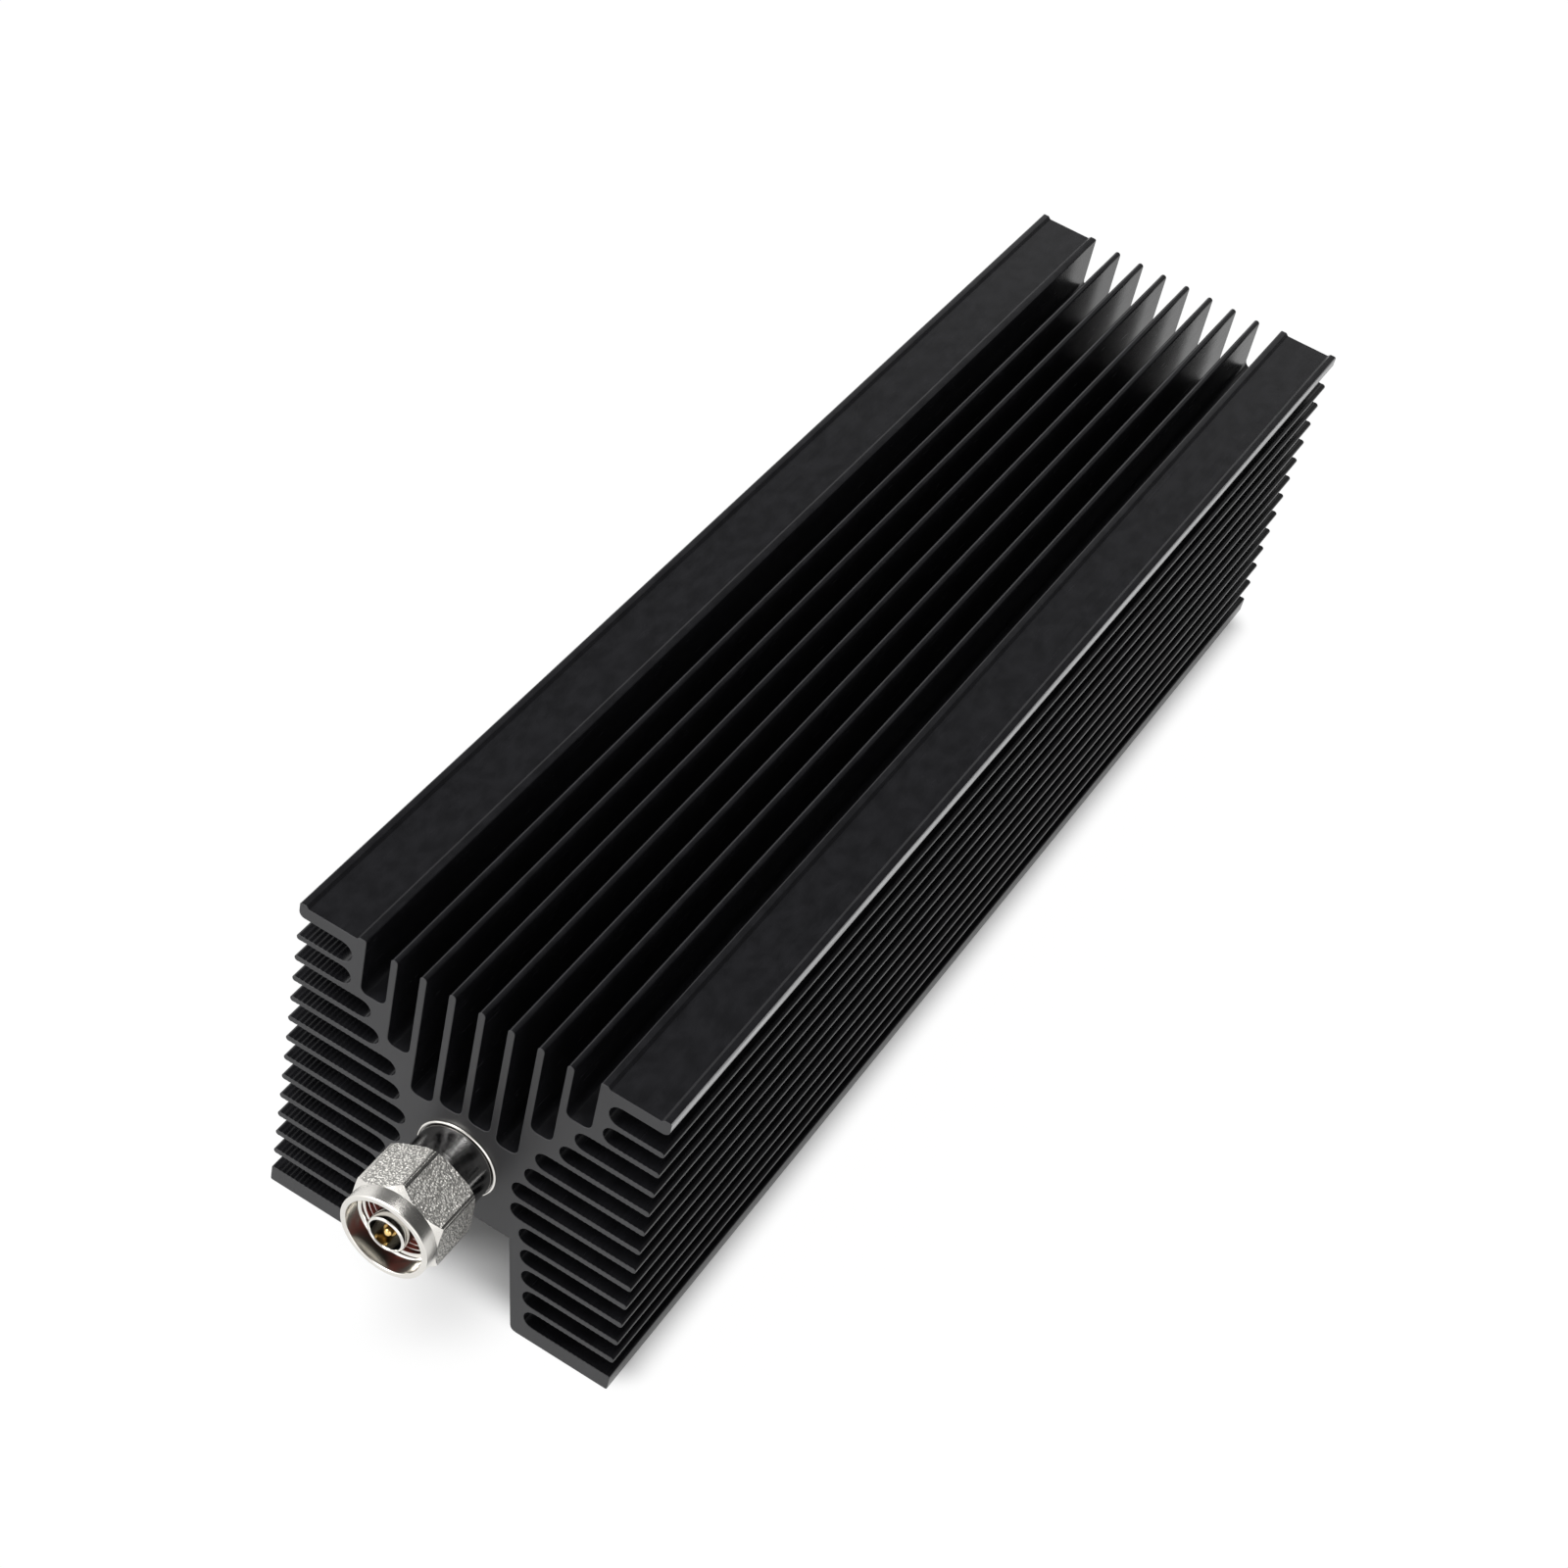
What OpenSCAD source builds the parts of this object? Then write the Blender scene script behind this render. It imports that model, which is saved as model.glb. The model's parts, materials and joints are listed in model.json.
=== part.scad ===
// Coaxial power attenuator: a finned, extruded heat sink with a screw-on coaxial plug at the front,
// a coaxial jack at the back, and a split carrier with three film cards in the bore between them.
// X runs across the fins, Y from the plug to the jack, Z up. The origin lies under the middle of the
// whole length, from the nut's rim to the jack's rim, on the plane that the feet stand on.

/* [Heat sink] */
// Length of the extrusion
sink_len = 285; // [220:5:360]
// Width over the side fins
sink_w = 77; // [72:0.5:90]
// Thickness of the feet
foot_t = 4; // [3:0.1:6]
// Height of the slot above the foot
foot_gap = 4.35; // [3.5:0.05:6]
// Distance from one side fin to the next
side_pitch = 5.5; // [5:0.1:6.5]
// Thickness of a side fin
side_fin_t = 1.3; // [1:0.1:1.8]
// Height of the slot under the top rail
rail_gap = 4.7; // [3.5:0.05:6]
// Thickness of the top rail at its raised edges
rail_t = 3.4; // [2.6:0.1:5]
// Width of the top rail
rail_w = 14.2; // [12:0.1:16]
// Width of the top rail's raised edge
lip_w = 1.4; // [0.8:0.1:2.4]
// Height of the top rail's raised edge
lip_h = 0.6; // [0.2:0.1:1.2]
// Distance from one upright fin to the next
upright_pitch = 6.1; // [5.6:0.1:6.5]
// Thickness of an upright fin
upright_t = 1.4; // [1:0.1:2]
// How far the upright fins end below the rails' raised edges
tip_drop = 0.5; // [0:0.1:2]
// Wall between the outermost upright slot and the side slots
rail_wall = 2.2; // [1.6:0.1:3]
// Wall of a leg where it meets the channel's ceiling
leg_wall = 2.25; // [1.8:0.05:3.5]
// Half the width of the channel at its ceiling
channel_half = 13.1; // [11:0.1:14]
// How far a leg's inner wall leans out for each millimetre down
channel_splay = 0.152; // [0.05:0.001:0.25]
// How far the side slots' roots lean out for each millimetre down a leg
root_splay = 0.197; // [0.1:0.001:0.3]
// Metal between the bore and the channel's ceiling
core_floor = 5.4; // [3:0.1:8]

/* [Bore and connector seats] */
// Diameter of the bore through the core
bore_d = 15; // [14:0.1:16]
// Clearance between pieces that slide into each other
slip = 0.05; // [0.02:0.01:0.1]
// Depth of a connector's spigot in the bore
spigot_len = 12; // [10:0.5:18]
// Wall of a spigot at its inner end
spigot_wall = 1.1; // [0.9:0.1:1.6]
// Diameter of a connector's seating flange
flange_d = 17.1; // [16.8:0.1:18.5]
// Thickness of a connector's seating flange
flange_t = 0.6; // [0.6:0.1:1.5]
// Bevel round a connector's seating flange
flange_bevel = 0.2; // [0.1:0.05:0.5]
// Diameter of the cavity that holds the insulating bead
bead_d = 10; // [9:0.1:11]
// Length of the insulating bead
bead_len = 5; // [3:0.1:6]
// Bore of the bush behind the bead
line_d = 7; // [6.4:0.1:8]
// How far the bush reaches into the heat sink's bore
bush_in = 4; // [2:0.5:6]

/* [Plug] */
// Diameter of the plug's neck
neck_d = 15.8; // [15:0.1:16]
// Length of the plug's neck in front of its flange
neck_len = 7.1; // [5:0.1:10]
// Diameter of the journal that the coupling nut turns on
journal_d = 13.7; // [13.2:0.1:14]
// Length of the journal
journal_len = 4.2; // [4:0.1:6]
// Wall between the bead's cavity and the journal's front
bead_stop = 1.5; // [1:0.1:2.5]
// Outer diameter of the outer contact
sleeve_d = 7.92; // [7.8:0.01:8.03]
// Bore of the outer contact
sleeve_bore_d = 6.7; // [6.4:0.1:7]
// Length of the outer contact in front of the journal
sleeve_len = 9.9; // [9:0.1:11]
// Distance from the journal's rim to the rim of the silicone gasket
gasket_edge = 0.25; // [0.1:0.05:1]
// Thickness of the silicone gasket
gasket_t = 1; // [0.6:0.1:1.6]

/* [Contacts] */
// Diameter of the centre contacts
contact_d = 3.04; // [2.9:0.01:3.2]
// Diameter of a centre contact inside its bead
waist_d = 2.4; // [1.8:0.1:2.7]
// Diameter of the pin's tip
tip_d = 1.65; // [1.6:0.01:1.7]
// Length of the pin's tip
tip_len = 5.05; // [4.5:0.05:5.5]
// How far the tip ends behind the outer contact's front
tip_back = 0.35; // [0.1:0.05:1]
// How far a centre contact reaches past the bush towards the cards
contact_in = 4; // [3:0.1:5]

/* [Coupling nut] */
// Width across the flats of the hexagon
nut_flats = 18.3; // [17.5:0.1:20]
// Length of the hexagon
hex_len = 11.2; // [8:0.1:13]
// Diameter of the plain ring in front of the hexagon
ring_d = 18.5; // [17.6:0.1:19]
// Length of the plain ring
ring_len = 3.3; // [3:0.1:6]
// Major diameter of the coupling thread, on the nut and on the jack
thread_d = 15.88; // [15.7:0.01:16]
// Radial step from the thread's major diameter out to the nut's plain mouth
mouth_step = 0.14; // [0.1:0.01:0.4]
// Depth of the plain mouth in front of the nut's thread
mouth_len = 3.8; // [1:0.1:5]
// Gap between the nut's back and the plug's neck
nut_gap = 0.3; // [0.2:0.1:0.6]
// Running clearance of the nut on its journal
nut_run = 0.05; // [0.02:0.01:0.1]
// Gap between the journal's front and the start of the nut's thread
thread_gap = 0.3; // [0.2:0.1:1]
// Width of the groove for the snap ring
groove_w = 1; // [0.8:0.1:1.4]
// Depth of that groove in the journal
groove_depth = 0.75; // [0.5:0.05:0.9]
// How far the snap ring stands out of the journal into the nut
ring_proud = 0.45; // [0.3:0.05:0.6]

/* [Jack] */
// Diameter of the relief between the jack's flange and thread
relief_d = 14.6; // [14:0.1:15.4]
// Length of the relief
relief_len = 2.8; // [2:0.1:4]
// Length of the jack's thread
jack_thread_len = 10.7; // [10:0.1:12]
// Bore that takes the other plug's outer contact
jack_bore_d = 8.06; // [8.05:0.01:8.2]
// Depth of that bore
jack_bore_depth = 9.1; // [9:0.1:10]
// How far the socket's mouth lies behind the jack's rim
socket_back = 4.1; // [3.5:0.1:4.5]
// Width of the slots between the socket's fingers
finger_slot = 0.35; // [0.2:0.05:0.5]

/* [Film cards and carrier] */
// Width of a card
card_w = 11; // [10:0.1:11.6]
// Thickness of a card
card_t = 1; // [0.6:0.1:1.4]
// Gap between two cards
card_gap = 6; // [5:0.5:10]
// Length of the solid land between the spigot and the first card
land_len = 6; // [5:0.5:10]
// Height of the air channel above the cards
air_h = 3; // [2:0.1:3.6]
// Width of a contact tab
tab_w = 2; // [1.2:0.1:2.6]
// Thickness of a contact tab
tab_t = 0.2; // [0.1:0.05:0.3]
// How far a contact tab lies on its card
tab_lap = 3; // [2:0.5:6]
// Distance from the bore's wall to the axes of the carrier's screws
screw_edge = 2.3; // [2.2:0.05:2.5]
// Diameter of the carrier's screws
screw_d = 1.6; // [1.4:0.1:1.8]
// Diameter of a screw's head
screw_head_d = 3; // [2.6:0.1:3.2]
// Height of a screw's head
screw_head_h = 1; // [0.8:0.1:1.2]
// Height of the seats under the screws' heads above the split
screw_seat = 1.9; // [1.6:0.1:2]
// Depth of the screws in the lower half
screw_grip = 3.2; // [2:0.1:4]

/* [Hidden] */
$fn = 96;

// Colours
anodised = [0.10, 0.10, 0.11];
nickel = [0.78, 0.77, 0.74];
steel = [0.55, 0.55, 0.56];
gold = [0.85, 0.65, 0.25];
silicone = [0.50, 0.12, 0.10];
ptfe = [0.93, 0.93, 0.90];
bare_aluminium = [0.72, 0.73, 0.75];
ceramic = [0.90, 0.90, 0.86];

// How far a cutting solid runs past the faces that it opens
over = 1;

// Side slots, counted from 0 under the top rail down to the one above the foot. The first two end
// beside the outermost upright slot, the next four step in under the upright slots, two end beside
// the bore and the rest follow the leg. A step is [upright fin counted from the middle, distance
// outside the inner face of that fin].
step_roots = [[3, 4.0], [3, 1.65], [2, 3.5], [2, 2.0]];
// Wall between the bore and each of the two slots beside it
bore_walls = [4.1, 4.6];
leg_slots = 5;
side_slots = 2 + len(step_roots) + len(bore_walls) + leg_slots;
// The slot under the rail is this much shallower than the one below it
first_slot_less = 0.3;

// Upright slots, counted from 0 beside the middle fin: [side slot, height above its centre line]
upright_floors = [[5, 4.25], [5, 3.0], [3, 0.75], [2, 3.95]];
upright_side = len(upright_floors) - 1;
// Rounding of the upright slots' floors
floor_round = 1.5;
// The side slot beside the bore, and how far the bore's axis lies under the slot's centre line
axis_slot = 6;
axis_drop = 1.35;
// Rounding of the feet and rails, and of the foot's inner corner
edge_round = 0.4;
toe_round = 1.4;
// Straight steps in a half round
half_steps = 8;

side_slot_h = side_pitch - side_fin_t;
function fin_z(i) = foot_t + foot_gap + side_fin_t / 2 + (side_slots - 2 - i) * side_pitch;
function slot_low(i) = i == side_slots - 1 ? foot_t : fin_z(i) + side_fin_t / 2;
function slot_high(i) = i == 0 ? fin_z(0) + side_fin_t / 2 + rail_gap : slot_low(i) + slot_height(i);
function slot_height(i) = i == side_slots - 1 ? foot_gap : side_slot_h;
function slot_mid(i) = i == 0 ? fin_z(0) + side_fin_t / 2 + rail_gap / 2
                              : slot_low(i) + slot_height(i) / 2;
rail_low = slot_high(0);
sink_h = rail_low + rail_t;
rail_in = sink_w / 2 - rail_w;
tip_z = sink_h - tip_drop;
axis_z = slot_mid(axis_slot) - axis_drop;
ceiling_z = axis_z - bore_d / 2 - core_floor;
channel_foot = channel_half + channel_splay * ceiling_z;
function leg_root(z) = channel_half + leg_wall + root_splay * (ceiling_z - z);
function fin_inner(k) = k * upright_pitch - upright_t / 2;
function slot_root(i) =
    i == 0 ? rail_in + rail_wall + first_slot_less
  : i == 1 ? rail_in + rail_wall
  : i < 2 + len(step_roots) ? fin_inner(step_roots[i - 2][0]) + step_roots[i - 2][1]
  : i < side_slots - leg_slots ? bore_d / 2 + bore_walls[i - 2 - len(step_roots)]
  : leg_root(slot_mid(i));
function floor_z(k) = slot_mid(upright_floors[k][0]) + upright_floors[k][1];
function upright_outer(k) = k == upright_side ? rail_in : fin_inner(k + 1);

function arc(x, z, r, from, to, steps) =
    [for (i = [0 : steps]) let (a = from + (to - from) * i / steps) [x + r * cos(a), z + r * sin(a)]];

// Right half of the section, from the channel's ceiling round the leg, side fins, rail and upright
// fins to the top of the middle fin
toe_lean = atan(channel_splay);
toe_x = channel_foot + toe_round * tan(45 - toe_lean / 2);
leg_points = concat(
    [[channel_half, ceiling_z]],
    arc(toe_x, toe_round, toe_round, 180 + toe_lean, 270, half_steps / 2),
    arc(sink_w / 2 - edge_round, edge_round, edge_round, 270, 360, half_steps / 2),
    arc(sink_w / 2 - edge_round, foot_t - edge_round, edge_round, 0, 90, half_steps / 2));
side_points = [for (i = [side_slots - 1 : -1 : 0])
    let (r = (slot_high(i) - slot_low(i)) / 2)
    each concat(
        arc(slot_root(i) + r, slot_low(i) + r, r, 270, 90, half_steps),
        i == 0 ? [] : arc(sink_w / 2 - side_fin_t / 2, fin_z(i - 1), side_fin_t / 2, -90, 90, half_steps))];
rail_points = concat(
    arc(sink_w / 2 - edge_round, rail_low + edge_round, edge_round, -90, 0, half_steps / 2),
    arc(sink_w / 2 - edge_round, sink_h - edge_round, edge_round, 0, 90, half_steps / 2),
    [[sink_w / 2 - lip_w, sink_h], [sink_w / 2 - lip_w - lip_h, sink_h - lip_h],
     [rail_in + lip_w + lip_h, sink_h - lip_h], [rail_in + lip_w, sink_h]],
    arc(rail_in + edge_round, sink_h - edge_round, edge_round, 90, 180, half_steps / 2));
upright_points = [for (k = [upright_side : -1 : 0])
    let (outer = upright_outer(k), inner = k * upright_pitch + upright_t / 2,
         r = min(floor_round, (outer - inner) / 2))
    each concat(
        arc(outer - r, floor_z(k) + r, r, 0, -90, half_steps / 2),
        arc(inner + r, floor_z(k) + r, r, 270, 180, half_steps / 2),
        arc(k * upright_pitch, tip_z - upright_t / 2, upright_t / 2, 0, k == 0 ? 90 : 180,
            k == 0 ? half_steps / 2 : half_steps))];
half_section = concat(leg_points, side_points, rail_points, upright_points);

// Connectors, measured outwards from the heat sink's end face
slide_r = bore_d / 2 - slip;
nose_r = slide_r - spigot_wall;
neck_end = flange_t + neck_len;
journal_end = neck_end + journal_len;
sleeve_end = journal_end + sleeve_len;
plug_bead_end = journal_end - bead_stop;
groove_mid = neck_end + journal_len / 2;
jack_thread_start = flange_t + relief_len;
jack_end = jack_thread_start + jack_thread_len;
jack_plane = jack_end - jack_bore_depth;
jack_bead_end = jack_plane - bead_stop;
// Bevel on a connector's other edges
edge_bevel = 0.25;
// Space past the other plug's pin at the bottom of the socket
socket_room = 1;
// Inner end of both centre contacts
contact_end = -bush_in - contact_in;

// Coupling nut
nut_back = neck_end + nut_gap;
hex_end = nut_back + hex_len;
nut_end = hex_end + ring_len;
hex_corner = nut_flats / sqrt(3);
// The bevel at the hexagon's back starts this far outside its flats
hex_bevel_out = 0.4;
thread_back = journal_end + thread_gap;
// Clearance of the snap ring in the nut
ring_play = 0.1;
ring_out = journal_d / 2 + ring_proud;
mouth_r = thread_d / 2 + mouth_step;

// Ends of the heat sink along Y
front_y = nut_end - (nut_end + sink_len + jack_end) / 2;
back_y = front_y + sink_len;
sink_mid = (front_y + back_y) / 2;

// Carrier and cards, measured along Y from the middle of the heat sink
carrier_half = sink_len / 2 - spigot_len;
nose_len = spigot_len - bush_in;
nose_gap = 0.1;
card_zone = 2 * (carrier_half - land_len);
card_len = (card_zone - 2 * card_gap) / 3;
card_step = card_len + card_gap;
screw_x = bore_d / 2 - screw_edge;
// Clearance round a screw's head
head_play = 0.1;
screw_stations = [-carrier_half + land_len / 2, -card_step / 2, card_step / 2,
                  carrier_half - land_len / 2];
// Height of the hump in a tab between two cards
link_rise = 0.8;

// Puts a connector's own axis on the bore's axis, pointing out of the front or the back
module at_front() {
    translate([0, front_y, axis_z]) rotate([90, 0, 0]) children();
}
module at_back() {
    translate([0, back_y, axis_z]) rotate([-90, 0, 0]) children();
}

// A turned piece from its outline of [radius, distance] points
module turned(outline) {
    rotate_extrude() polygon(outline);
}

// Puts what is measured from the middle of the heat sink on the bore's axis
module in_bore() {
    translate([0, sink_mid, axis_z]) children();
}

// A rod along the bore's axis, from one distance to another
module axis_rod(d, from, to) {
    translate([0, from, 0]) rotate([-90, 0, 0]) cylinder(d = d, h = to - from);
}

module heat_sink() {
    other_half = [for (i = [len(half_section) - 2 : -1 : 0]) [-half_section[i][0], half_section[i][1]]];
    color(anodised) difference() {
        translate([0, back_y, 0]) rotate([90, 0, 0])
            linear_extrude(sink_len) polygon(concat(half_section, other_half));
        in_bore() axis_rod(bore_d, -sink_len / 2 - over, sink_len / 2 + over);
    }
}

// Spigot, bead cavity and seating flange that both connectors share, as the points of the cavity
// side and of the outer side
function seat_inside(bead_end, bore) = [
    [bore / 2, bead_end], [bead_d / 2, bead_end], [bead_d / 2, -bush_in],
    [nose_r + slip, -bush_in], [nose_r + slip, -spigot_len]];
seat_outside = [
    [slide_r, -spigot_len], [slide_r, 0], [flange_d / 2, 0],
    [flange_d / 2, flange_t - flange_bevel], [flange_d / 2 - flange_bevel, flange_t]];

module plug_body() {
    color(nickel) at_front() turned(concat(
        [[sleeve_bore_d / 2, sleeve_end - edge_bevel]],
        seat_inside(plug_bead_end, sleeve_bore_d),
        seat_outside,
        [[neck_d / 2, flange_t], [neck_d / 2, neck_end - edge_bevel],
         [neck_d / 2 - edge_bevel, neck_end], [journal_d / 2, neck_end],
         [journal_d / 2, groove_mid - groove_w / 2],
         [journal_d / 2 - groove_depth, groove_mid - groove_w / 2],
         [journal_d / 2 - groove_depth, groove_mid + groove_w / 2],
         [journal_d / 2, groove_mid + groove_w / 2],
         [journal_d / 2, journal_end], [sleeve_d / 2, journal_end],
         [sleeve_d / 2, sleeve_end - edge_bevel], [sleeve_d / 2 - edge_bevel, sleeve_end],
         [sleeve_bore_d / 2 + edge_bevel / 2, sleeve_end]]));
}

module coupling_nut() {
    back_r = nut_flats / 2 + hex_bevel_out;
    hex_r = hex_corner + over;
    color(nickel) at_front() difference() {
        union() {
            intersection() {
                translate([0, 0, nut_back]) rotate([0, 0, 90]) cylinder(r = hex_corner, h = hex_len, $fn = 6);
                turned([[0, nut_back], [back_r, nut_back], [hex_r, nut_back + (hex_r - back_r) * tan(30)],
                        [hex_r, hex_end - (hex_r - ring_d / 2)], [ring_d / 2, hex_end], [0, hex_end]]);
            }
            turned([[0, hex_end - over], [ring_d / 2, hex_end - over],
                    [ring_d / 2, nut_end - edge_bevel], [ring_d / 2 - edge_bevel, nut_end], [0, nut_end]]);
        }
        turned([[0, nut_back - over], [journal_d / 2 + nut_run, nut_back - over],
                [journal_d / 2 + nut_run, groove_mid - groove_w / 2 - ring_play],
                [ring_out + ring_play, groove_mid - groove_w / 2 - ring_play],
                [ring_out + ring_play, groove_mid + groove_w / 2 + ring_play],
                [journal_d / 2 + nut_run, groove_mid + groove_w / 2 + ring_play],
                [journal_d / 2 + nut_run, thread_back],
                [thread_d / 2, thread_back], [thread_d / 2, nut_end - mouth_len - mouth_step],
                [mouth_r, nut_end - mouth_len], [mouth_r, nut_end - edge_bevel],
                [mouth_r + edge_bevel, nut_end], [mouth_r + edge_bevel, nut_end + over],
                [0, nut_end + over]]);
    }
}

module nut_snap_ring() {
    ring_in = journal_d / 2 - groove_depth + slip;
    color(steel) at_front() difference() {
        turned([[ring_in, groove_mid - groove_w / 2 + slip], [ring_out, groove_mid - groove_w / 2 + slip],
                [ring_out, groove_mid + groove_w / 2 - slip], [ring_in, groove_mid + groove_w / 2 - slip]]);
        translate([-journal_d, -groove_w, groove_mid - groove_w]) cube([journal_d, 2 * groove_w, 2 * groove_w]);
    }
}

module plug_gasket() {
    inner_r = sleeve_d / 2 + slip;
    outer_r = journal_d / 2 - gasket_edge;
    color(silicone) at_front()
        turned([[inner_r, journal_end], [outer_r, journal_end], [outer_r, journal_end + gasket_t],
                [inner_r, journal_end + gasket_t]]);
}

// A centre contact's outline from its inner end to the front of its bead
function contact_tail(bead_end) = [
    [0, contact_end], [contact_d / 2, contact_end],
    [contact_d / 2, bead_end - bead_len], [waist_d / 2, bead_end - bead_len],
    [waist_d / 2, bead_end], [contact_d / 2, bead_end]];

// The slot in a contact's inner end that takes the tab
module tab_slot() {
    translate([-contact_d, -slip, contact_end - over])
        cube([2 * contact_d, tab_t + 2 * slip, over + contact_in / 2]);
}

module plug_pin() {
    tip_end = sleeve_end - tip_back;
    color(gold) at_front() difference() {
        turned(concat(
            contact_tail(plug_bead_end),
            [[contact_d / 2, tip_end - tip_len - edge_bevel],
             [contact_d / 2 - edge_bevel, tip_end - tip_len], [tip_d / 2, tip_end - tip_len]],
            arc(0, tip_end - tip_d / 2, tip_d / 2, 0, 90, half_steps / 2)));
        tab_slot();
    }
}

module bead(end) {
    color(ptfe)
        turned([[waist_d / 2 + slip, end - bead_len + slip], [bead_d / 2 - slip, end - bead_len + slip],
                [bead_d / 2 - slip, end], [waist_d / 2 + slip, end]]);
}

module bush(end) {
    color(nickel)
        turned([[line_d / 2, -bush_in], [bead_d / 2 - slip, -bush_in], [bead_d / 2 - slip, end],
                [line_d / 2, end]]);
}

module plug_bead() {
    at_front() bead(plug_bead_end);
}

module plug_bush() {
    at_front() bush(plug_bead_end - bead_len);
}

// The whole carrier before it is split, with the round line to the cards cut from each end and
// between the cards
module carrier_blank() {
    difference() {
        union() {
            axis_rod(2 * slide_r, -carrier_half, carrier_half);
            axis_rod(2 * nose_r, -carrier_half - nose_len + nose_gap, carrier_half + nose_len - nose_gap);
        }
        for (side = [-1, 1]) {
            end = side * (carrier_half + nose_len + over);
            card_end = side * card_zone / 2;
            axis_rod(line_d, min(end, card_end), max(end, card_end));
            axis_rod(line_d, side * card_step / 2 - card_gap / 2, side * card_step / 2 + card_gap / 2);
        }
    }
}

// One half of the space round the carrier: side is 1 above the split plane and -1 below it
module half_space(side) {
    size = 2 * bore_d;
    translate([-size / 2, -sink_len / 2, side > 0 ? 0 : -size]) cube([size, sink_len, size]);
}

module carrier_upper() {
    color(bare_aluminium) in_bore() difference() {
        intersection() {
            carrier_blank();
            half_space(1);
        }
        translate([-line_d / 2, -card_zone / 2, -over]) cube([line_d, card_zone, air_h + over]);
        for (y = screw_stations, side = [-1, 1]) translate([side * screw_x, y, 0]) {
            translate([0, 0, -over]) cylinder(d = screw_d + 2 * slip, h = bore_d);
            translate([0, 0, screw_seat]) cylinder(d = screw_head_d + 2 * head_play, h = bore_d);
        }
    }
}

module carrier_lower() {
    color(bare_aluminium) in_bore() difference() {
        intersection() {
            carrier_blank();
            half_space(-1);
        }
        for (i = [-1 : 1])
            translate([-card_w / 2 - slip, i * card_step - card_len / 2 - slip, -card_t])
                cube([card_w + 2 * slip, card_len + 2 * slip, card_t + over]);
        for (y = screw_stations, side = [-1, 1])
            translate([side * screw_x, y, -screw_grip - slip])
                cylinder(d = screw_d + 2 * slip, h = screw_grip + over);
    }
}

module carrier_screws() {
    color(steel) in_bore() for (y = screw_stations, side = [-1, 1]) translate([side * screw_x, y, 0]) {
        translate([0, 0, -screw_grip]) cylinder(d = screw_d, h = screw_grip + screw_seat);
        translate([0, 0, screw_seat]) difference() {
            cylinder(d = screw_head_d, h = screw_head_h);
            translate([0, 0, screw_head_h / 2]) cylinder(d = screw_d, h = screw_head_h, $fn = 6);
        }
    }
}

module film_card(i) {
    color(ceramic) in_bore() translate([-card_w / 2, i * card_step - card_len / 2, -card_t])
        cube([card_w, card_len, card_t]);
}

// A flat tab from a connector's contact to the nearest card
module end_tab(side) {
    contact_at = sink_len / 2 + contact_end + contact_in / 2;
    card_at = card_zone / 2 - tab_lap;
    color(gold) in_bore() translate([-tab_w / 2, side > 0 ? card_at : -contact_at, 0])
        cube([tab_w, contact_at - card_at, tab_t]);
}

// A tab from one card to the next, with a hump that lets the cards grow as they warm
module link_tab(i) {
    reach = card_gap / 2 + tab_lap;
    rise = [[-reach, 0], [-card_gap / 2, 0], [-card_gap / 4, link_rise], [card_gap / 4, link_rise],
            [card_gap / 2, 0], [reach, 0]];
    back = [for (k = [len(rise) - 1 : -1 : 0]) [rise[k][0], rise[k][1] + tab_t]];
    color(gold) in_bore() translate([-tab_w / 2, i * card_step / 2, 0])
        rotate([90, 0, 90]) linear_extrude(tab_w) polygon(concat(rise, back));
}

module jack_body() {
    color(nickel) at_back() turned(concat(
        [[jack_bore_d / 2, jack_end - edge_bevel], [jack_bore_d / 2, jack_plane],
         [line_d / 2, jack_plane]],
        seat_inside(jack_bead_end, line_d),
        seat_outside,
        [[relief_d / 2, flange_t], [relief_d / 2, jack_thread_start - edge_bevel],
         [thread_d / 2, jack_thread_start + edge_bevel], [thread_d / 2, jack_end - 2 * edge_bevel],
         [thread_d / 2 - 2 * edge_bevel, jack_end], [jack_bore_d / 2 + edge_bevel, jack_end]]));
}

module jack_contact() {
    mouth = jack_end - socket_back;
    bottom = mouth - tip_len - socket_room;
    color(gold) at_back() difference() {
        turned(concat(
            contact_tail(jack_bead_end),
            [[contact_d / 2, mouth - edge_bevel], [contact_d / 2 - edge_bevel, mouth],
             [tip_d / 2 + slip, mouth], [tip_d / 2 + slip, bottom], [0, bottom]]));
        for (a = [0, 90]) rotate([0, 0, a])
            translate([-contact_d, -finger_slot / 2, mouth - tip_len])
                cube([2 * contact_d, finger_slot, tip_len + over]);
        mirror([0, 1, 0]) tab_slot();
    }
}

module jack_bead() {
    at_back() bead(jack_bead_end);
}

module jack_bush() {
    at_back() bush(jack_bead_end - bead_len);
}

heat_sink();
plug_body();
coupling_nut();
nut_snap_ring();
plug_gasket();
plug_pin();
plug_bead();
plug_bush();
carrier_upper();
carrier_lower();
carrier_screws();
film_card(-1);  // input_card
film_card(0);  // middle_card
film_card(1);  // output_card
end_tab(-1);  // input_tab
link_tab(-1);  // front_link
link_tab(1);  // rear_link
end_tab(1);  // output_tab
jack_body();
jack_contact();
jack_bead();
jack_bush();
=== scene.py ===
"""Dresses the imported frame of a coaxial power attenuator: an extruded heat sink with a plug and a jack.

The frame gives the place of every piece. New pieces stand for the nodes whose surface shows most: the
heat sink with the ripples along its fins, the coupling nut and the jack with their threads, the plug's
shell and its gasket. The other nodes keep their shape and get a finish.
"""
import json

import bmesh
import bpy
import numpy as np
from mathutils import Matrix, Vector
from mathutils.geometry import delaunay_2d_cdt

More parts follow.
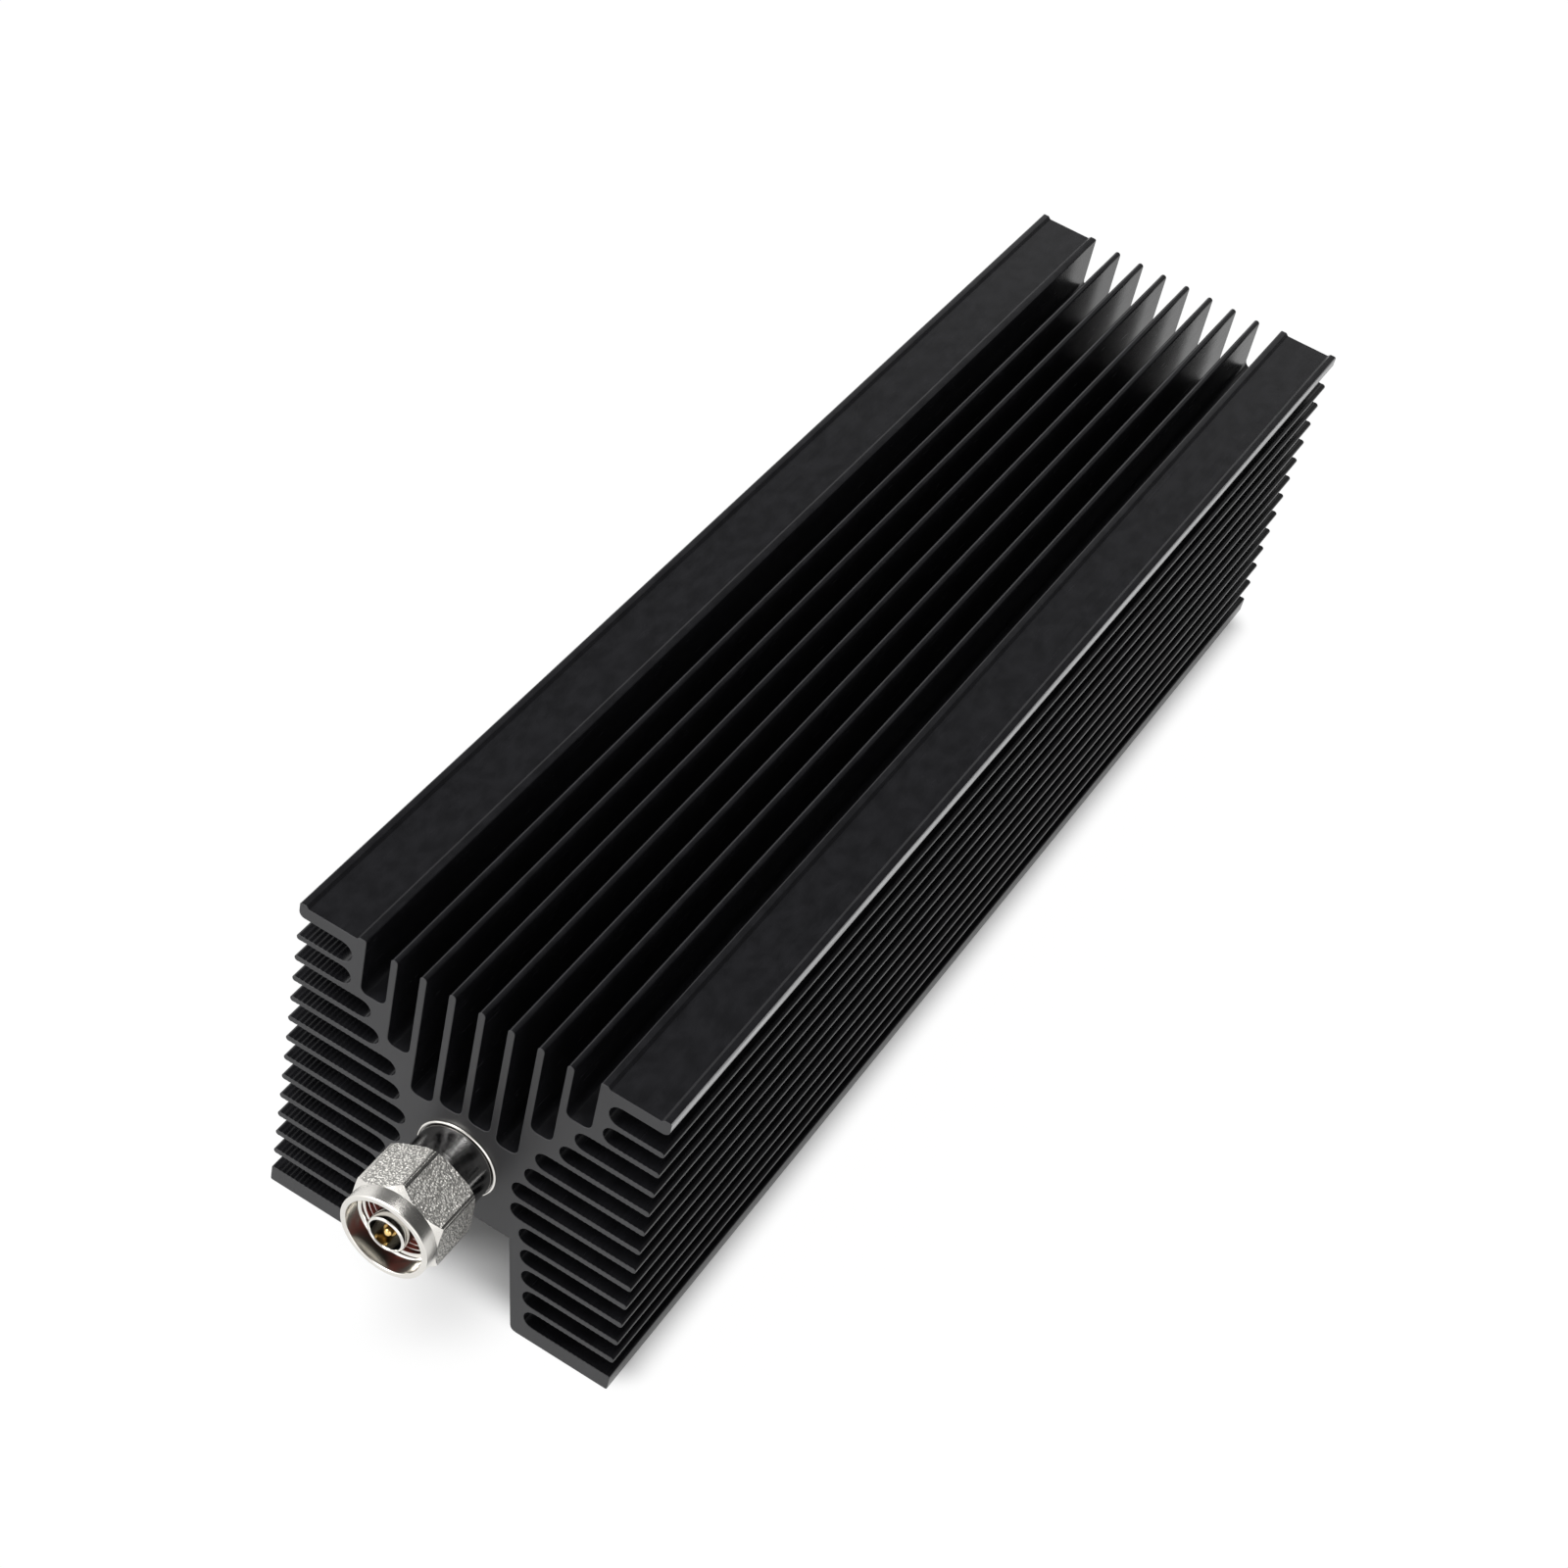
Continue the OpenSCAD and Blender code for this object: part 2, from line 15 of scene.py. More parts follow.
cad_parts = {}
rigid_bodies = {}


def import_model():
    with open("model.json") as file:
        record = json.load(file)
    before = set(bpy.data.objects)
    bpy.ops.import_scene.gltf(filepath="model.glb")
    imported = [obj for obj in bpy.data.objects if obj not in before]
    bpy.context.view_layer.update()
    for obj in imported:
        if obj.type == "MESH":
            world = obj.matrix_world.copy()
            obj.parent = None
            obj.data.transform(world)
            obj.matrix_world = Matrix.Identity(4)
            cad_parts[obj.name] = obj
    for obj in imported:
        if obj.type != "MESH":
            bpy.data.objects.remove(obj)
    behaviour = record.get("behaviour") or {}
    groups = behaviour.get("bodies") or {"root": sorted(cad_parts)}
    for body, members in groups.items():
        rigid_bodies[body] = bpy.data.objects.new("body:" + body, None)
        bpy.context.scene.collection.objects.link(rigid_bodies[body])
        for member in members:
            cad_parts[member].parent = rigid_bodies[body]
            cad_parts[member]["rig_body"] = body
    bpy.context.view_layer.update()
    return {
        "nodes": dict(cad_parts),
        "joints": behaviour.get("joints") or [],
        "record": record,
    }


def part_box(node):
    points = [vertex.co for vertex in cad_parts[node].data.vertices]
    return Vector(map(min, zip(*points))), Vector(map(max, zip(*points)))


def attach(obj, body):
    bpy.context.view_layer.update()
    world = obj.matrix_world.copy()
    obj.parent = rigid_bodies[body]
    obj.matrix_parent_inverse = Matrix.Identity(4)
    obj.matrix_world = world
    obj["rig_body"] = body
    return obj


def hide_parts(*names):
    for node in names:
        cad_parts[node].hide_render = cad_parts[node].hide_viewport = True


bl_info = {
    "name": "Coaxial attenuator",
    "version": (1, 0, 0),
    "blender": (4, 5, 0),
    "location": "View3D > Sidebar > Attenuator",
    "description": "Builds the looks of a finned coaxial attenuator on its CAD frame",
    "category": "Object",
}

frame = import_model()

MM = 0.001
# Points nearer than this are one point
TOUCH = 1e-7
# Edges that turn more than this look sharp
SHARP = np.radians(30)
# CAD points are told apart down to this distance
GRAIN = 1e-6

sink_low, sink_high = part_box("heat_sink")
jack_thread = next(m for m in frame["record"]["mounts"] if m["name"] == "jack_thread")
axis_z = frame["joints"][0]["pos_m"][2]
thread_radius = jack_thread["dims"]["r_mm"] * MM
# One inch in 24 turns
THREAD_PITCH = 25.4 / 24 * MM
# Distance from the heat sink's end face to the coupling nut's back, and the neck's radius between them
NUT_BACK = 8 * MM
NECK_RADIUS = 7.9 * MM
# How far the rubbed band reaches in from the rails' outer side faces, and down from their raised edges
RUBBED_IN = 0.25 * MM
RUBBED_DOWN = 2 * MM
BARE_METAL = (0.8, 0.8, 0.81, 1.0)
# The floor lies just under the feet
FLOOR_HEIGHT = -0.05 * MM
# How far the floor's full shade stays inside the heat sink's sides and ends, and where across the floor
# the plug's shade has its middle
SHADE_INSET = (3 * MM, 8 * MM)
PLUG_SHADE_SIDE = -4 * MM
# How wide the dimples fade out beside the smooth border of a flat
DIMPLE_FADE = 0.15 * MM
# A side fin's face is longer than the first and ends nearer to the heat sink's side than the second
FIN_FACE = 4 * MM
FIN_TIP = 1 * MM


def mm_setting(name, description, default, low, high):
    """A setting for a length, written here in millimetres and kept in metres."""
    return bpy.props.FloatProperty(name=name, description=description, default=default * MM,
                                   min=low * MM, max=high * MM, precision=5, unit="LENGTH")


def colour_setting(name, description, default):
    """A setting for a colour."""
    return bpy.props.FloatVectorProperty(name=name, description=description, default=default,
                                         min=0, max=1, subtype="COLOR")


def level_setting(name, description, default, high, **kind):
    """A setting for a number from 0 up to the highest, with the kind of its unit where it has one."""
    return bpy.props.FloatProperty(name=name, description=description, default=default,
                                   min=0, max=high, **kind)


class SinkSettings(bpy.types.PropertyGroup):
    ripple_pitch: mm_setting("Ripple pitch", "Distance between the ripples along a side fin", 1, 0.5, 2)
    ripple_depth: mm_setting("Ripple depth", "Depth of the ripples in a side fin's faces", 0.09, 0, 0.3)
    end_bevel: mm_setting("End bevel", "Bevel round the cut ends of the extrusion", 0.1, 0.02, 0.3)
    rail_round: mm_setting(
        "Rail rounding", "Radius of the lower corner of each rail's outer end", 1.3, 0.5, 2.5)
    rubbed: level_setting(
        "Rubbed", "How far the black is rubbed off the rails' outer side faces", 0.4, 1, subtype="FACTOR")
    black: colour_setting("Anodised black", "Colour of the anodised surface", (0.0065, 0.0065, 0.0075))
    cut_black: colour_setting("Cut end", "Colour of the sawn and anodised ends", (0.014, 0.014, 0.0155))


class ConnectorSettings(bpy.types.PropertyGroup):
    across_flats: mm_setting("Across flats", "Width of the nut's hexagon", 18.3, 17.5, 20)
    hexagon_length: mm_setting("Hexagon length", "Length of the nut's hexagon", 11.2, 8, 13)
    corner_round: mm_setting("Corner rounding", "Radius of the hexagon's six corners", 0.6, 0.1, 1.5)
    chamfer_start: mm_setting(
        "Chamfer start", "How far outside the flats the hexagon's back chamfer starts", 0.4, 0.1, 1)
    ring_diameter: mm_setting("Ring diameter", "Diameter of the nut's plain front ring", 18.5, 17.6, 19)
    mouth_diameter: mm_setting("Mouth diameter", "Diameter of the nut's plain mouth", 16.16, 16, 16.6)
    mouth_depth: mm_setting(
        "Mouth depth", "Depth of the nut's plain mouth in front of its thread", 3.8, 1, 5)
    rim_outside: mm_setting("Rim outside", "Rounding of the rim's outer edge", 0.42, 0.1, 0.5)
    rim_inside: mm_setting("Rim inside", "Rounding of the rim's inner edge", 0.3, 0.1, 0.5)
    journal_bore: mm_setting("Journal bore", "Diameter of the nut's bearing on the plug", 13.8, 13.3, 14)
    journal_length: mm_setting("Journal length", "Length of the nut's bearing on the plug", 4.2, 3, 5)
    groove_diameter: mm_setting(
        "Groove diameter", "Diameter of the nut's groove for the snap ring", 14.8, 14, 15)
    groove_width: mm_setting("Groove width", "Width of the nut's groove for the snap ring", 1.2, 1, 1.6)
    groove_start: mm_setting("Groove start", "Distance from the nut's back to the groove", 1.2, 0.5, 2)
    thread_depth: mm_setting("Thread depth", "Depth of the coupling threads", 0.6, 0.4, 0.7)
    undercut: mm_setting(
        "Undercut", "Depth of the narrow groove between the plug's neck and its flange", 0.45, 0.1, 0.5)
    edge_round: mm_setting("Edge rounding", "Rounding of the connectors' turned edges", 0.07, 0.02, 0.15)
    gasket_round: mm_setting("Gasket rounding", "Rounding of the silicone gasket's edges", 0.3, 0.05, 0.45)
    dimple_depth: mm_setting(
        "Dimple depth", "Depth of the blasted grain in the hexagon's flats", 0.06, 0, 0.2)
    dimple_border: mm_setting(
        "Dimple border", "Smooth border beside each corner of the hexagon", 0.45, 0.05, 1)
    nickel: colour_setting("Nickel", "Colour of the nickel plating", (0.76, 0.74, 0.70))
    # The neck's colour is painted shade: it darkens the polished neck in place of its dark reflection of the
    # heat sink's end
    neck: colour_setting("Neck", "Colour of the plug's darker neck behind the nut", (0.26, 0.255, 0.25))
    gold: colour_setting("Gold", "Colour of the gold plating", (0.86, 0.60, 0.24))
    silicone: colour_setting("Silicone", "Colour of the gasket", (0.35, 0.045, 0.03))
    plastic: colour_setting("Bead", "Colour of the insulating beads", (0.80, 0.79, 0.75))


class CarrierSettings(bpy.types.PropertyGroup):
    aluminium: colour_setting("Aluminium", "Colour of the bare carrier halves", (0.72, 0.73, 0.74))
    steel: colour_setting("Steel", "Colour of the screws and the snap ring", (0.52, 0.51, 0.50))
    ceramic: colour_setting("Ceramic", "Colour of the cards", (0.78, 0.77, 0.73))
    film: colour_setting("Film", "Colour of the resistive film on the cards", (0.035, 0.03, 0.028))
    pad: colour_setting("Pad", "Colour of the metal pads at the cards' ends", (0.80, 0.79, 0.76))
    film_width: mm_setting("Film width", "Width of the resistive film", 6.4, 2, 10)
    pad_length: mm_setting("Pad length", "Length of the metal pad at each end of a card", 5, 2, 10)


class StudioSettings(bpy.types.PropertyGroup):
    camera_place: bpy.props.FloatVectorProperty(
        name="Camera place", description="Where the camera stands",
        default=(0.1609, -0.44818, 0.48266), precision=5, unit="LENGTH", subtype="TRANSLATION")
    camera_aim: bpy.props.FloatVectorProperty(
        name="Camera aim", description="The point in the middle of the picture",
        default=(-0.0029, -0.0187, 0.039), precision=5, unit="LENGTH", subtype="TRANSLATION")
    camera_roll: bpy.props.FloatProperty(
        name="Camera roll", description="How far the camera is turned about its own line of sight",
        default=np.radians(14.4), unit="ROTATION", subtype="ANGLE")
    lens: bpy.props.FloatProperty(
        name="Lens", description="Focal length of the camera in millimetres",
        default=71.85, min=20, max=200, unit="CAMERA")
    floor_size: bpy.props.FloatProperty(
        name="Floor size", description="Width of the floor",
        default=12, min=2, max=40, unit="LENGTH")
    floor_white: level_setting("Floor white", "How pale the floor is", 0.75, 1)
    sink_shade: mm_setting(
        "Sink's shade", "Width of the shaded floor along the heat sink's edges", 9, 1, 200)
    plug_shade: mm_setting("Plug's shade", "Width of the shaded floor round the connectors", 24, 1, 200)
    walls: level_setting(
        "Walls", "Brightness of the pale walls round the object up to a third of the height", 1.0, 3)
    ceiling: level_setting(
        "Ceiling", "Brightness of the surroundings overhead and behind the object", 0.09, 2)
    room: level_setting("Room", "Brightness of the surroundings on the camera's side", 0.55, 2)
    key_light: level_setting(
        "Key light", "Power of the softbox at the front left, in watts", 13, 60, unit="POWER")
    top_light: level_setting(
        "Top light", "Power of the long softbox over the object, in watts", 8, 60, unit="POWER")


class AttenuatorSettings(bpy.types.PropertyGroup):
    sink: bpy.props.PointerProperty(type=SinkSettings, name="Heat sink")
    connector: bpy.props.PointerProperty(type=ConnectorSettings, name="Connectors")
    carrier: bpy.props.PointerProperty(type=CarrierSettings, name="Carrier and cards")
    studio: bpy.props.PointerProperty(type=StudioSettings, name="Studio")


class Value:
    """A shader socket in an expression: each + - * or ** on it adds a Math node."""

    def __init__(self, nodes, socket):
        self.nodes = nodes
        self.socket = socket

    def math(self, operation, *values):
        return self.nodes.add("ShaderNodeMath", {"operation": operation}, dict(enumerate(values)))

    def __add__(self, other):
        return self.math("ADD", self, other)

    def __sub__(self, other):
        return self.math("SUBTRACT", self, other)

    def __rsub__(self, other):
        return self.math("SUBTRACT", other, self)

    def __mul__(self, other):
        return self.math("MULTIPLY", self, other)

    def __pow__(self, other):
        return self.math("POWER", self, other)

    def __abs__(self):
        return self.math("ABSOLUTE", self)

    __radd__ = __add__
    __rmul__ = __mul__


class Nodes:
    """The shader nodes of one material or of the world."""

    def __init__(self, owner):
        owner.use_nodes = True
        self.tree = owner.node_tree
        self.tree.nodes.clear()

    def add(self, kind, settings=None, inputs=None, output=0):
        """Adds one node, sets its settings and then its sockets, and gives back one of its outputs."""
        node = self.tree.nodes.new(kind)
        for name, setting in (settings or {}).items():
            setattr(node, name, setting)
        for name, value in (inputs or {}).items():
            if isinstance(value, Value):
                self.tree.links.new(value.socket, node.inputs[name])
            else:
                node.inputs[name].default_value = value
        return Value(self, node.outputs[output]) if node.outputs else node


def shade(colour, factor):
    """The colour made darker or lighter by one factor, and opaque."""
    return (*(factor * part for part in colour), 1.0)


def place_on(nodes, cell=(1, 1, 1), centre=(0, 0, 0)):
    """Object coordinates measured from a centre, in cells of the given size."""
    here = nodes.add("ShaderNodeTexCoord", output="Object")
    return nodes.add("ShaderNodeMapping", {"vector_type": "TEXTURE"},
                     {"Vector": here, "Location": centre, "Scale": cell})


def parts_of(vector):
    """The X, Y and Z of a vector."""
    first = vector.nodes.add("ShaderNodeSeparateXYZ", None, {"Vector": vector})
    return [Value(vector.nodes, part) for part in first.socket.node.outputs]


def noise(nodes, cell, detail=2.0, roughness=0.5):
    """Noise from 0 to 1. The cell is the size of its patches in millimetres, one for all or X, Y and Z."""
    sizes = [MM * size for size in np.broadcast_to(cell, 3)]
    return nodes.add("ShaderNodeTexNoise", {"noise_dimensions": "3D"},
                     {"Vector": place_on(nodes, sizes), "Scale": 1.0,
                      "Detail": detail, "Roughness": roughness})


def vector_math(operation, *values, output=0):
    """A Vector Math node on vectors, the first of them a Value."""
    inputs = dict(enumerate(values))
    return values[0].nodes.add("ShaderNodeVectorMath", {"operation": operation}, inputs, output)


def distance_past(nodes, centre, half):
    """Distance in object coordinates to a box with the given centre and half sizes; 0 inside it."""
    away = vector_math("ABSOLUTE", place_on(nodes, centre=centre))
    outside = vector_math("MAXIMUM", vector_math("SUBTRACT", away, half), (0, 0, 0))
    return vector_math("LENGTH", outside, output="Value")


def ramp(value, start, end, low=0.0, high=1.0):
    """Eases from low to high while the value goes from start to end, and stays level outside."""
    return value.nodes.add("ShaderNodeMapRange", {"interpolation_type": "SMOOTHSTEP"},
                           {"Value": value, "From Min": start, "From Max": end,
                            "To Min": low, "To Max": high})


def blend_colours(factor, first, second):
    """The first colour where the factor is 0 and the second where it is 1."""
    return factor.nodes.add("ShaderNodeMix", {"data_type": "RGBA"},
                            {0: factor, 6: first, 7: second}, output=2)


def varied(factor, colour, low, high):
    """The colour times low where the factor is 0, and times high where it is 1."""
    return blend_colours(factor, shade(colour, low), shade(colour, high))


def grey(level):
    """A colour with the same level of red, green and blue."""
    return level.nodes.add("ShaderNodeCombineColor", None, {"Red": level, "Green": level, "Blue": level})


def bumped(height, depth):
    """A normal from a height that runs from 0 to 1 and stands for the given depth."""
    return height.nodes.add("ShaderNodeBump", None, {"Height": height, "Distance": depth, "Strength": 1.0})


def finish(name, recipe, *values, **options):
    """Makes a material. The recipe gets its nodes and gives back the sockets of its surface shader."""
    material = bpy.data.materials.new(name)
    nodes = Nodes(material)
    surface = nodes.add("ShaderNodeBsdfPrincipled", None, recipe(nodes, *values, **options))
    nodes.add("ShaderNodeOutputMaterial", None, {"Surface": surface})
    return material


def anodised(nodes, settings):
    """Satin black with faint lines along the extrusion, partly rubbed off the rails' outer side faces."""
    lines = noise(nodes, (0.22, 60, 0.22), 3.0)
    pits = noise(nodes, (0.12, 0.16, 0.12), 1.0)
    clouds = ramp(noise(nodes, (3, 5, 3), 4.0, 0.6), 0.3, 0.7)
    streaks = noise(nodes, (0.6, 25, 0.6), 4.0, 0.6)
    across, _, height = parts_of(place_on(nodes))
    inner = sink_high.x - RUBBED_IN
    lower = sink_high.z - RUBBED_DOWN
    at_side = ramp(abs(across), inner, inner + 0.15 * MM)
    at_rail = ramp(height, lower, lower + 0.4 * MM)
    worn = settings.rubbed * at_side * at_rail * ramp(streaks, 0.2, 0.7, 0.5, 1.3)
    black = varied(clouds, settings.black, 0.8, 1.25)
    return {
        "Base Color": blend_colours(worn, black, BARE_METAL),
        "Metallic": worn,
        "Roughness": 0.18 + 0.1 * lines + 0.03 * clouds,
        "Specular IOR Level": 0.3,
        "Normal": bumped(0.6 * lines + 0.2 * pits, 0.004 * MM),
    }


def sawn(nodes, settings):
    """The extrusion's cut ends: fine upright saw lines under a black lighter than the sides' black."""
    lines = noise(nodes, (0.09, 1000, 7), 3.0)
    pits = noise(nodes, 0.15)
    clouds = noise(nodes, 9, 3.0)
    return {
        "Base Color": varied(clouds, settings.cut_black, 0.8, 1.25),
        "Roughness": 0.4 + 0.12 * lines,
        "Specular IOR Level": 0.5,
        "Normal": bumped(0.6 * lines + 0.4 * pits, 0.006 * MM),
    }


def on_axis(nodes):
    """The distance along the connectors' axis and the distance from it."""
    across, along, up = parts_of(place_on(nodes, centre=(0, 0, axis_z)))
    return along, (across * across + up * up) ** 0.5


def turned_grooves(nodes, width=0.05 * MM):
    """Noise on the distance along the connectors' axis plus the distance from it: rings on both the
    round and the flat faces that a lathe leaves."""
    along, radius = on_axis(nodes)
    return nodes.add("ShaderNodeTexNoise", {"noise_dimensions": "1D"},
                     {"W": (along + radius) * (1 / width), "Scale": 1.0, "Detail": 2.0})


def turned_nickel(nodes, colour, satin=0.1, bore=0):
    """Bright nickel over fine turning lines, with faint smears, polished inside the bore's radius."""
    _, radius = on_axis(nodes)
    outside = ramp(radius, bore, bore + 0.1 * MM)
    grooves = turned_grooves(nodes) * (0.25 + 0.75 * outside)
    smears = noise(nodes, (3, 2, 3), 3.0)
    return {
        "Base Color": varied(smears, colour, 0.93, 1.05),
        "Metallic": 1.0,
        "Roughness": 0.1 + (satin - 0.1) * outside + 0.08 * smears,
        "Normal": bumped(grooves, 0.008 * MM),
    }


def plug_nickel(nodes, colour, neck):
    """Bright turned nickel, with the neck between the coupling nut and the flange painted darker as painted
    shade for the dark heat sink end that it mirrors, and deeper turning lines there that draw the lights out
    along it."""
    along, radius = on_axis(nodes)
    nut_back = sink_low.y - NUT_BACK
    behind_nut = ramp(along, nut_back - 0.2 * MM, nut_back)
    below_rim = 1 - ramp(radius, NECK_RADIUS + 0.2 * MM, NECK_RADIUS + 0.4 * MM)
    on_neck = behind_nut * below_rim
    grooves = turned_grooves(nodes) * (0.2 + 0.8 * on_neck)
    smears = noise(nodes, (3, 2, 3), 3.0)
    bright = varied(smears, colour, 0.93, 1.05)
    return {
        # Painted shade: the neck gets the darker colour in place of the dark reflection of the heat sink's
        # end
        "Base Color": blend_colours(on_neck, bright, varied(smears, neck, 0.93, 1.05)),
        "Metallic": 1.0,
        "Roughness": 0.04 + 0.08 * smears,
        "Normal": bumped(grooves, 0.0075 * MM),
    }


def blasted_nickel(nodes, colour):
    """Grainy nickel on the hexagon's flats: painted highlight on the round grains' tops and painted shade
    in the darker hollows between them, following the grains' bump.
    """
    grain = nodes.add("ShaderNodeTexVoronoi", {"feature": "SMOOTH_F1"},
                      {"Vector": place_on(nodes, [0.44 * MM] * 3), "Scale": 1.0,
                       "Smoothness": 0.2, "Randomness": 1.0}, output="Distance")
    fine = noise(nodes, 0.21)
    smears = noise(nodes, 2.5)
    return {
        # Painted highlight and painted shade: the colour is lighter on each grain's top and darker in the
        # hollows
        "Base Color": varied(ramp(grain, 0.15, 0.6), colour, 1.3, 0.5),
        "Metallic": 0.75,
        "Roughness": 0.26 + 0.1 * smears,
        "Normal": bumped(1 - grain + 0.8 * fine, 0.15 * MM),
    }


def spring_steel(nodes, colour):
    """Plain steel with fine turning lines and a slight brown cast in patches."""
    patches = noise(nodes, 1.5, 3.0)
    brown = (colour[0] * 0.8, colour[1] * 0.76, colour[2] * 0.7, 1.0)
    return {
        "Base Color": blend_colours(patches, shade(colour, 1), brown),
        "Metallic": 1.0,
        "Roughness": 0.28 + 0.12 * patches,
        "Normal": bumped(turned_grooves(nodes), 0.002 * MM),
    }


def gold_plate(nodes, colour):
    """Soft bright gold with faint turning lines."""
    patches = noise(nodes, (0.8, 1.6, 0.8), 3.0)
    return {
        "Base Color": varied(patches, colour, 0.9, 1.08),
        "Metallic": 1.0,
        "Roughness": 0.16 + 0.1 * patches,
        "Normal": bumped(turned_grooves(nodes), 0.0015 * MM),
    }


def moulded_silicone(nodes, colour):
    """Matt red rubber with a fine mould grain."""
    grain = noise(nodes, 0.08)
    patches = noise(nodes, 1.2)
    return {
        "Base Color": varied(patches, colour, 0.8, 1.15),
        "Roughness": 0.45 + 0.15 * patches,
        "Normal": bumped(grain, 0.006 * MM),
    }


def skived_plastic(nodes, colour):
    """White plastic bead, turned from rod."""
    patches = noise(nodes, 1.5, 3.0)
    return {
        "Base Color": varied(patches, colour, 0.95, 1.04),
        "Roughness": 0.38 + 0.1 * patches,
        "Normal": bumped(turned_grooves(nodes, 0.08 * MM), 0.004 * MM),
    }


def milled_aluminium(nodes, colour):
    """Bare aluminium with cutter marks across the carrier's length."""
    marks = nodes.add("ShaderNodeTexWave", {"bands_direction": "Y"},
                      {"Vector": place_on(nodes, [MM] * 3), "Scale": 1.3,
                       "Distortion": 2.0, "Detail": 2.0, "Detail Scale": 1.5}, output="Fac")
    scratches = noise(nodes, (0.1, 5, 0.1), 3.0)
    patches = noise(nodes, (5, 9, 5), 3.0)
    return {
        "Base Color": varied(patches, colour, 0.88, 1.06),
        "Metallic": 1.0,
        "Roughness": 0.3 + 0.12 * scratches,
        "Normal": bumped(0.7 * marks + 0.3 * scratches, 0.004 * MM),
    }


def film_card(nodes, settings, low, high):
    """White ceramic with a dark film along its upper face and a metal pad across each end."""
    across, along, up = parts_of(place_on(nodes, centre=tuple((low + high) / 2)))
    half = (high - low) / 2
    film_side = settings.film_width / 2
    pad_start = half.y - settings.pad_length
    top = ramp(up, half.z - 0.04 * MM, half.z - 0.01 * MM)
    beside = ramp(abs(across), film_side - 0.05 * MM, film_side + 0.05 * MM)
    past = ramp(abs(along), pad_start, pad_start + 0.1 * MM)
    pad = top * past
    film = top * (1 - beside) * (1 - past)
    grain = noise(nodes, 0.2, 3.0)
    patches = noise(nodes, (2, 6, 2), 3.0)
    coated = blend_colours(film, varied(grain, settings.ceramic, 0.93, 1.04),
                           varied(patches, settings.film, 0.8, 1.6))
    return {
        "Base Color": blend_colours(pad, coated, shade(settings.pad, 1)),
        "Metallic": pad,
        "Roughness": 0.55 - 0.2 * film - 0.2 * pad + 0.1 * grain,
        "Normal": bumped(grain + 0.5 * film + 0.8 * pad, 0.012 * MM),
    }


def threes(parts, name, kind):
    """The three numbers that each part of a mesh has under a name, as the rows of an array."""
    values = np.empty(3 * len(parts), kind)
    parts.foreach_get(name, values)
    return values.reshape(-1, 3)


def loose_triangles(node):
    """The places of a CAD node's vertices and the corners of its triangles, as arrays."""
    mesh = frame["nodes"][node].data
    mesh.calc_loop_triangles()
    places = threes(mesh.vertices, "co", np.float32).astype(float)
    return places, threes(mesh.loop_triangles, "vertices", np.int32)


def joined(points):
    """Joins the points that agree: the points left, and which of them each old point is. The quarter
    keeps places on whole grains away from the limit between two keys."""
    keys = np.floor(points / GRAIN + 0.25)
    _, first, which = np.unique(keys, axis=0, return_index=True, return_inverse=True)
    return points[first], which.reshape(-1)


def edges_of(triangles):
    """Every edge of the triangles once, and how many triangles share it."""
    sides = np.concatenate([triangles[:, [0, 1]], triangles[:, [1, 2]], triangles[:, [2, 0]]])
    return np.unique(np.sort(sides, axis=1), axis=0, return_counts=True)


def in_order(edges, start):
    """Puts the points of a closed outline in order, from its loose edges.

    A step is a point and which of its two neighbours comes next. The table of following steps is
    applied to all steps found so far and then to itself, so each round doubles the order.
    """
    labels, local = np.unique(edges, return_inverse=True)
    local = local.reshape(edges.shape)
    both = np.concatenate([local, local[:, ::-1]])
    neighbour = both[np.argsort(both[:, 0], kind="stable"), 1].reshape(-1, 2)
    came_from = np.arange(len(labels))[:, None]
    jump = (2 * neighbour + (neighbour[neighbour, 0] == came_from)).ravel()
    order = 2 * np.flatnonzero(labels == start)
    while len(order) <= len(labels):
        order = np.concatenate([order, jump[order]])
        jump = jump[jump]
    length = 1 + np.flatnonzero(order[1:] == order[0])[0]
    return labels[order[:length] // 2]


def widdershins(points):
    """The outline turned so that it runs anticlockwise, by the sign of its area."""
    after = np.roll(points, -1, axis=0)
    area = np.sum(points[:, 0] * after[:, 1] - points[:, 1] * after[:, 0])
    return points if area > 0 else points[::-1]


def end_outlines(node):
    """The section of a straight extrusion as (X, Z) points: its outer outline and its bore's, from the
    edges that only one triangle of its front face has."""
    places, triangles = loose_triangles(node)
    points, which = joined(places[:, [0, 2]])
    in_front = (places[triangles][:, :, 1] < places[:, 1].min() + GRAIN).all(axis=1)
    edges, shared = edges_of(which[triangles[in_front]])
    border = edges[shared == 1]
    on_border = np.unique(border)
    outermost = on_border[np.argmax(np.abs(points[on_border, 0]))]
    from_axis = np.hypot(points[on_border, 0], points[on_border, 1] - axis_z)
    innermost = on_border[np.argmin(from_axis)]
    return (widdershins(points[in_order(border, outermost)]),
            widdershins(points[in_order(border, innermost)])[::-1])


def turned_outline(node):
    """The outline of a turned node as (radius, Y) points, from the edges that cross between its rings."""
    places, triangles = loose_triangles(node)
    radius = np.hypot(places[:, 0], places[:, 2] - axis_z)
    points, which = joined(np.stack([radius, places[:, 1]], axis=1))
    edges, _ = edges_of(which[triangles])
    edges = edges[edges[:, 0] != edges[:, 1]]
    return widdershins(points[in_order(edges, edges[0, 0])])


def unit(vectors):
    """The vectors, each made one long."""
    return vectors / np.linalg.norm(vectors, axis=1, keepdims=True)


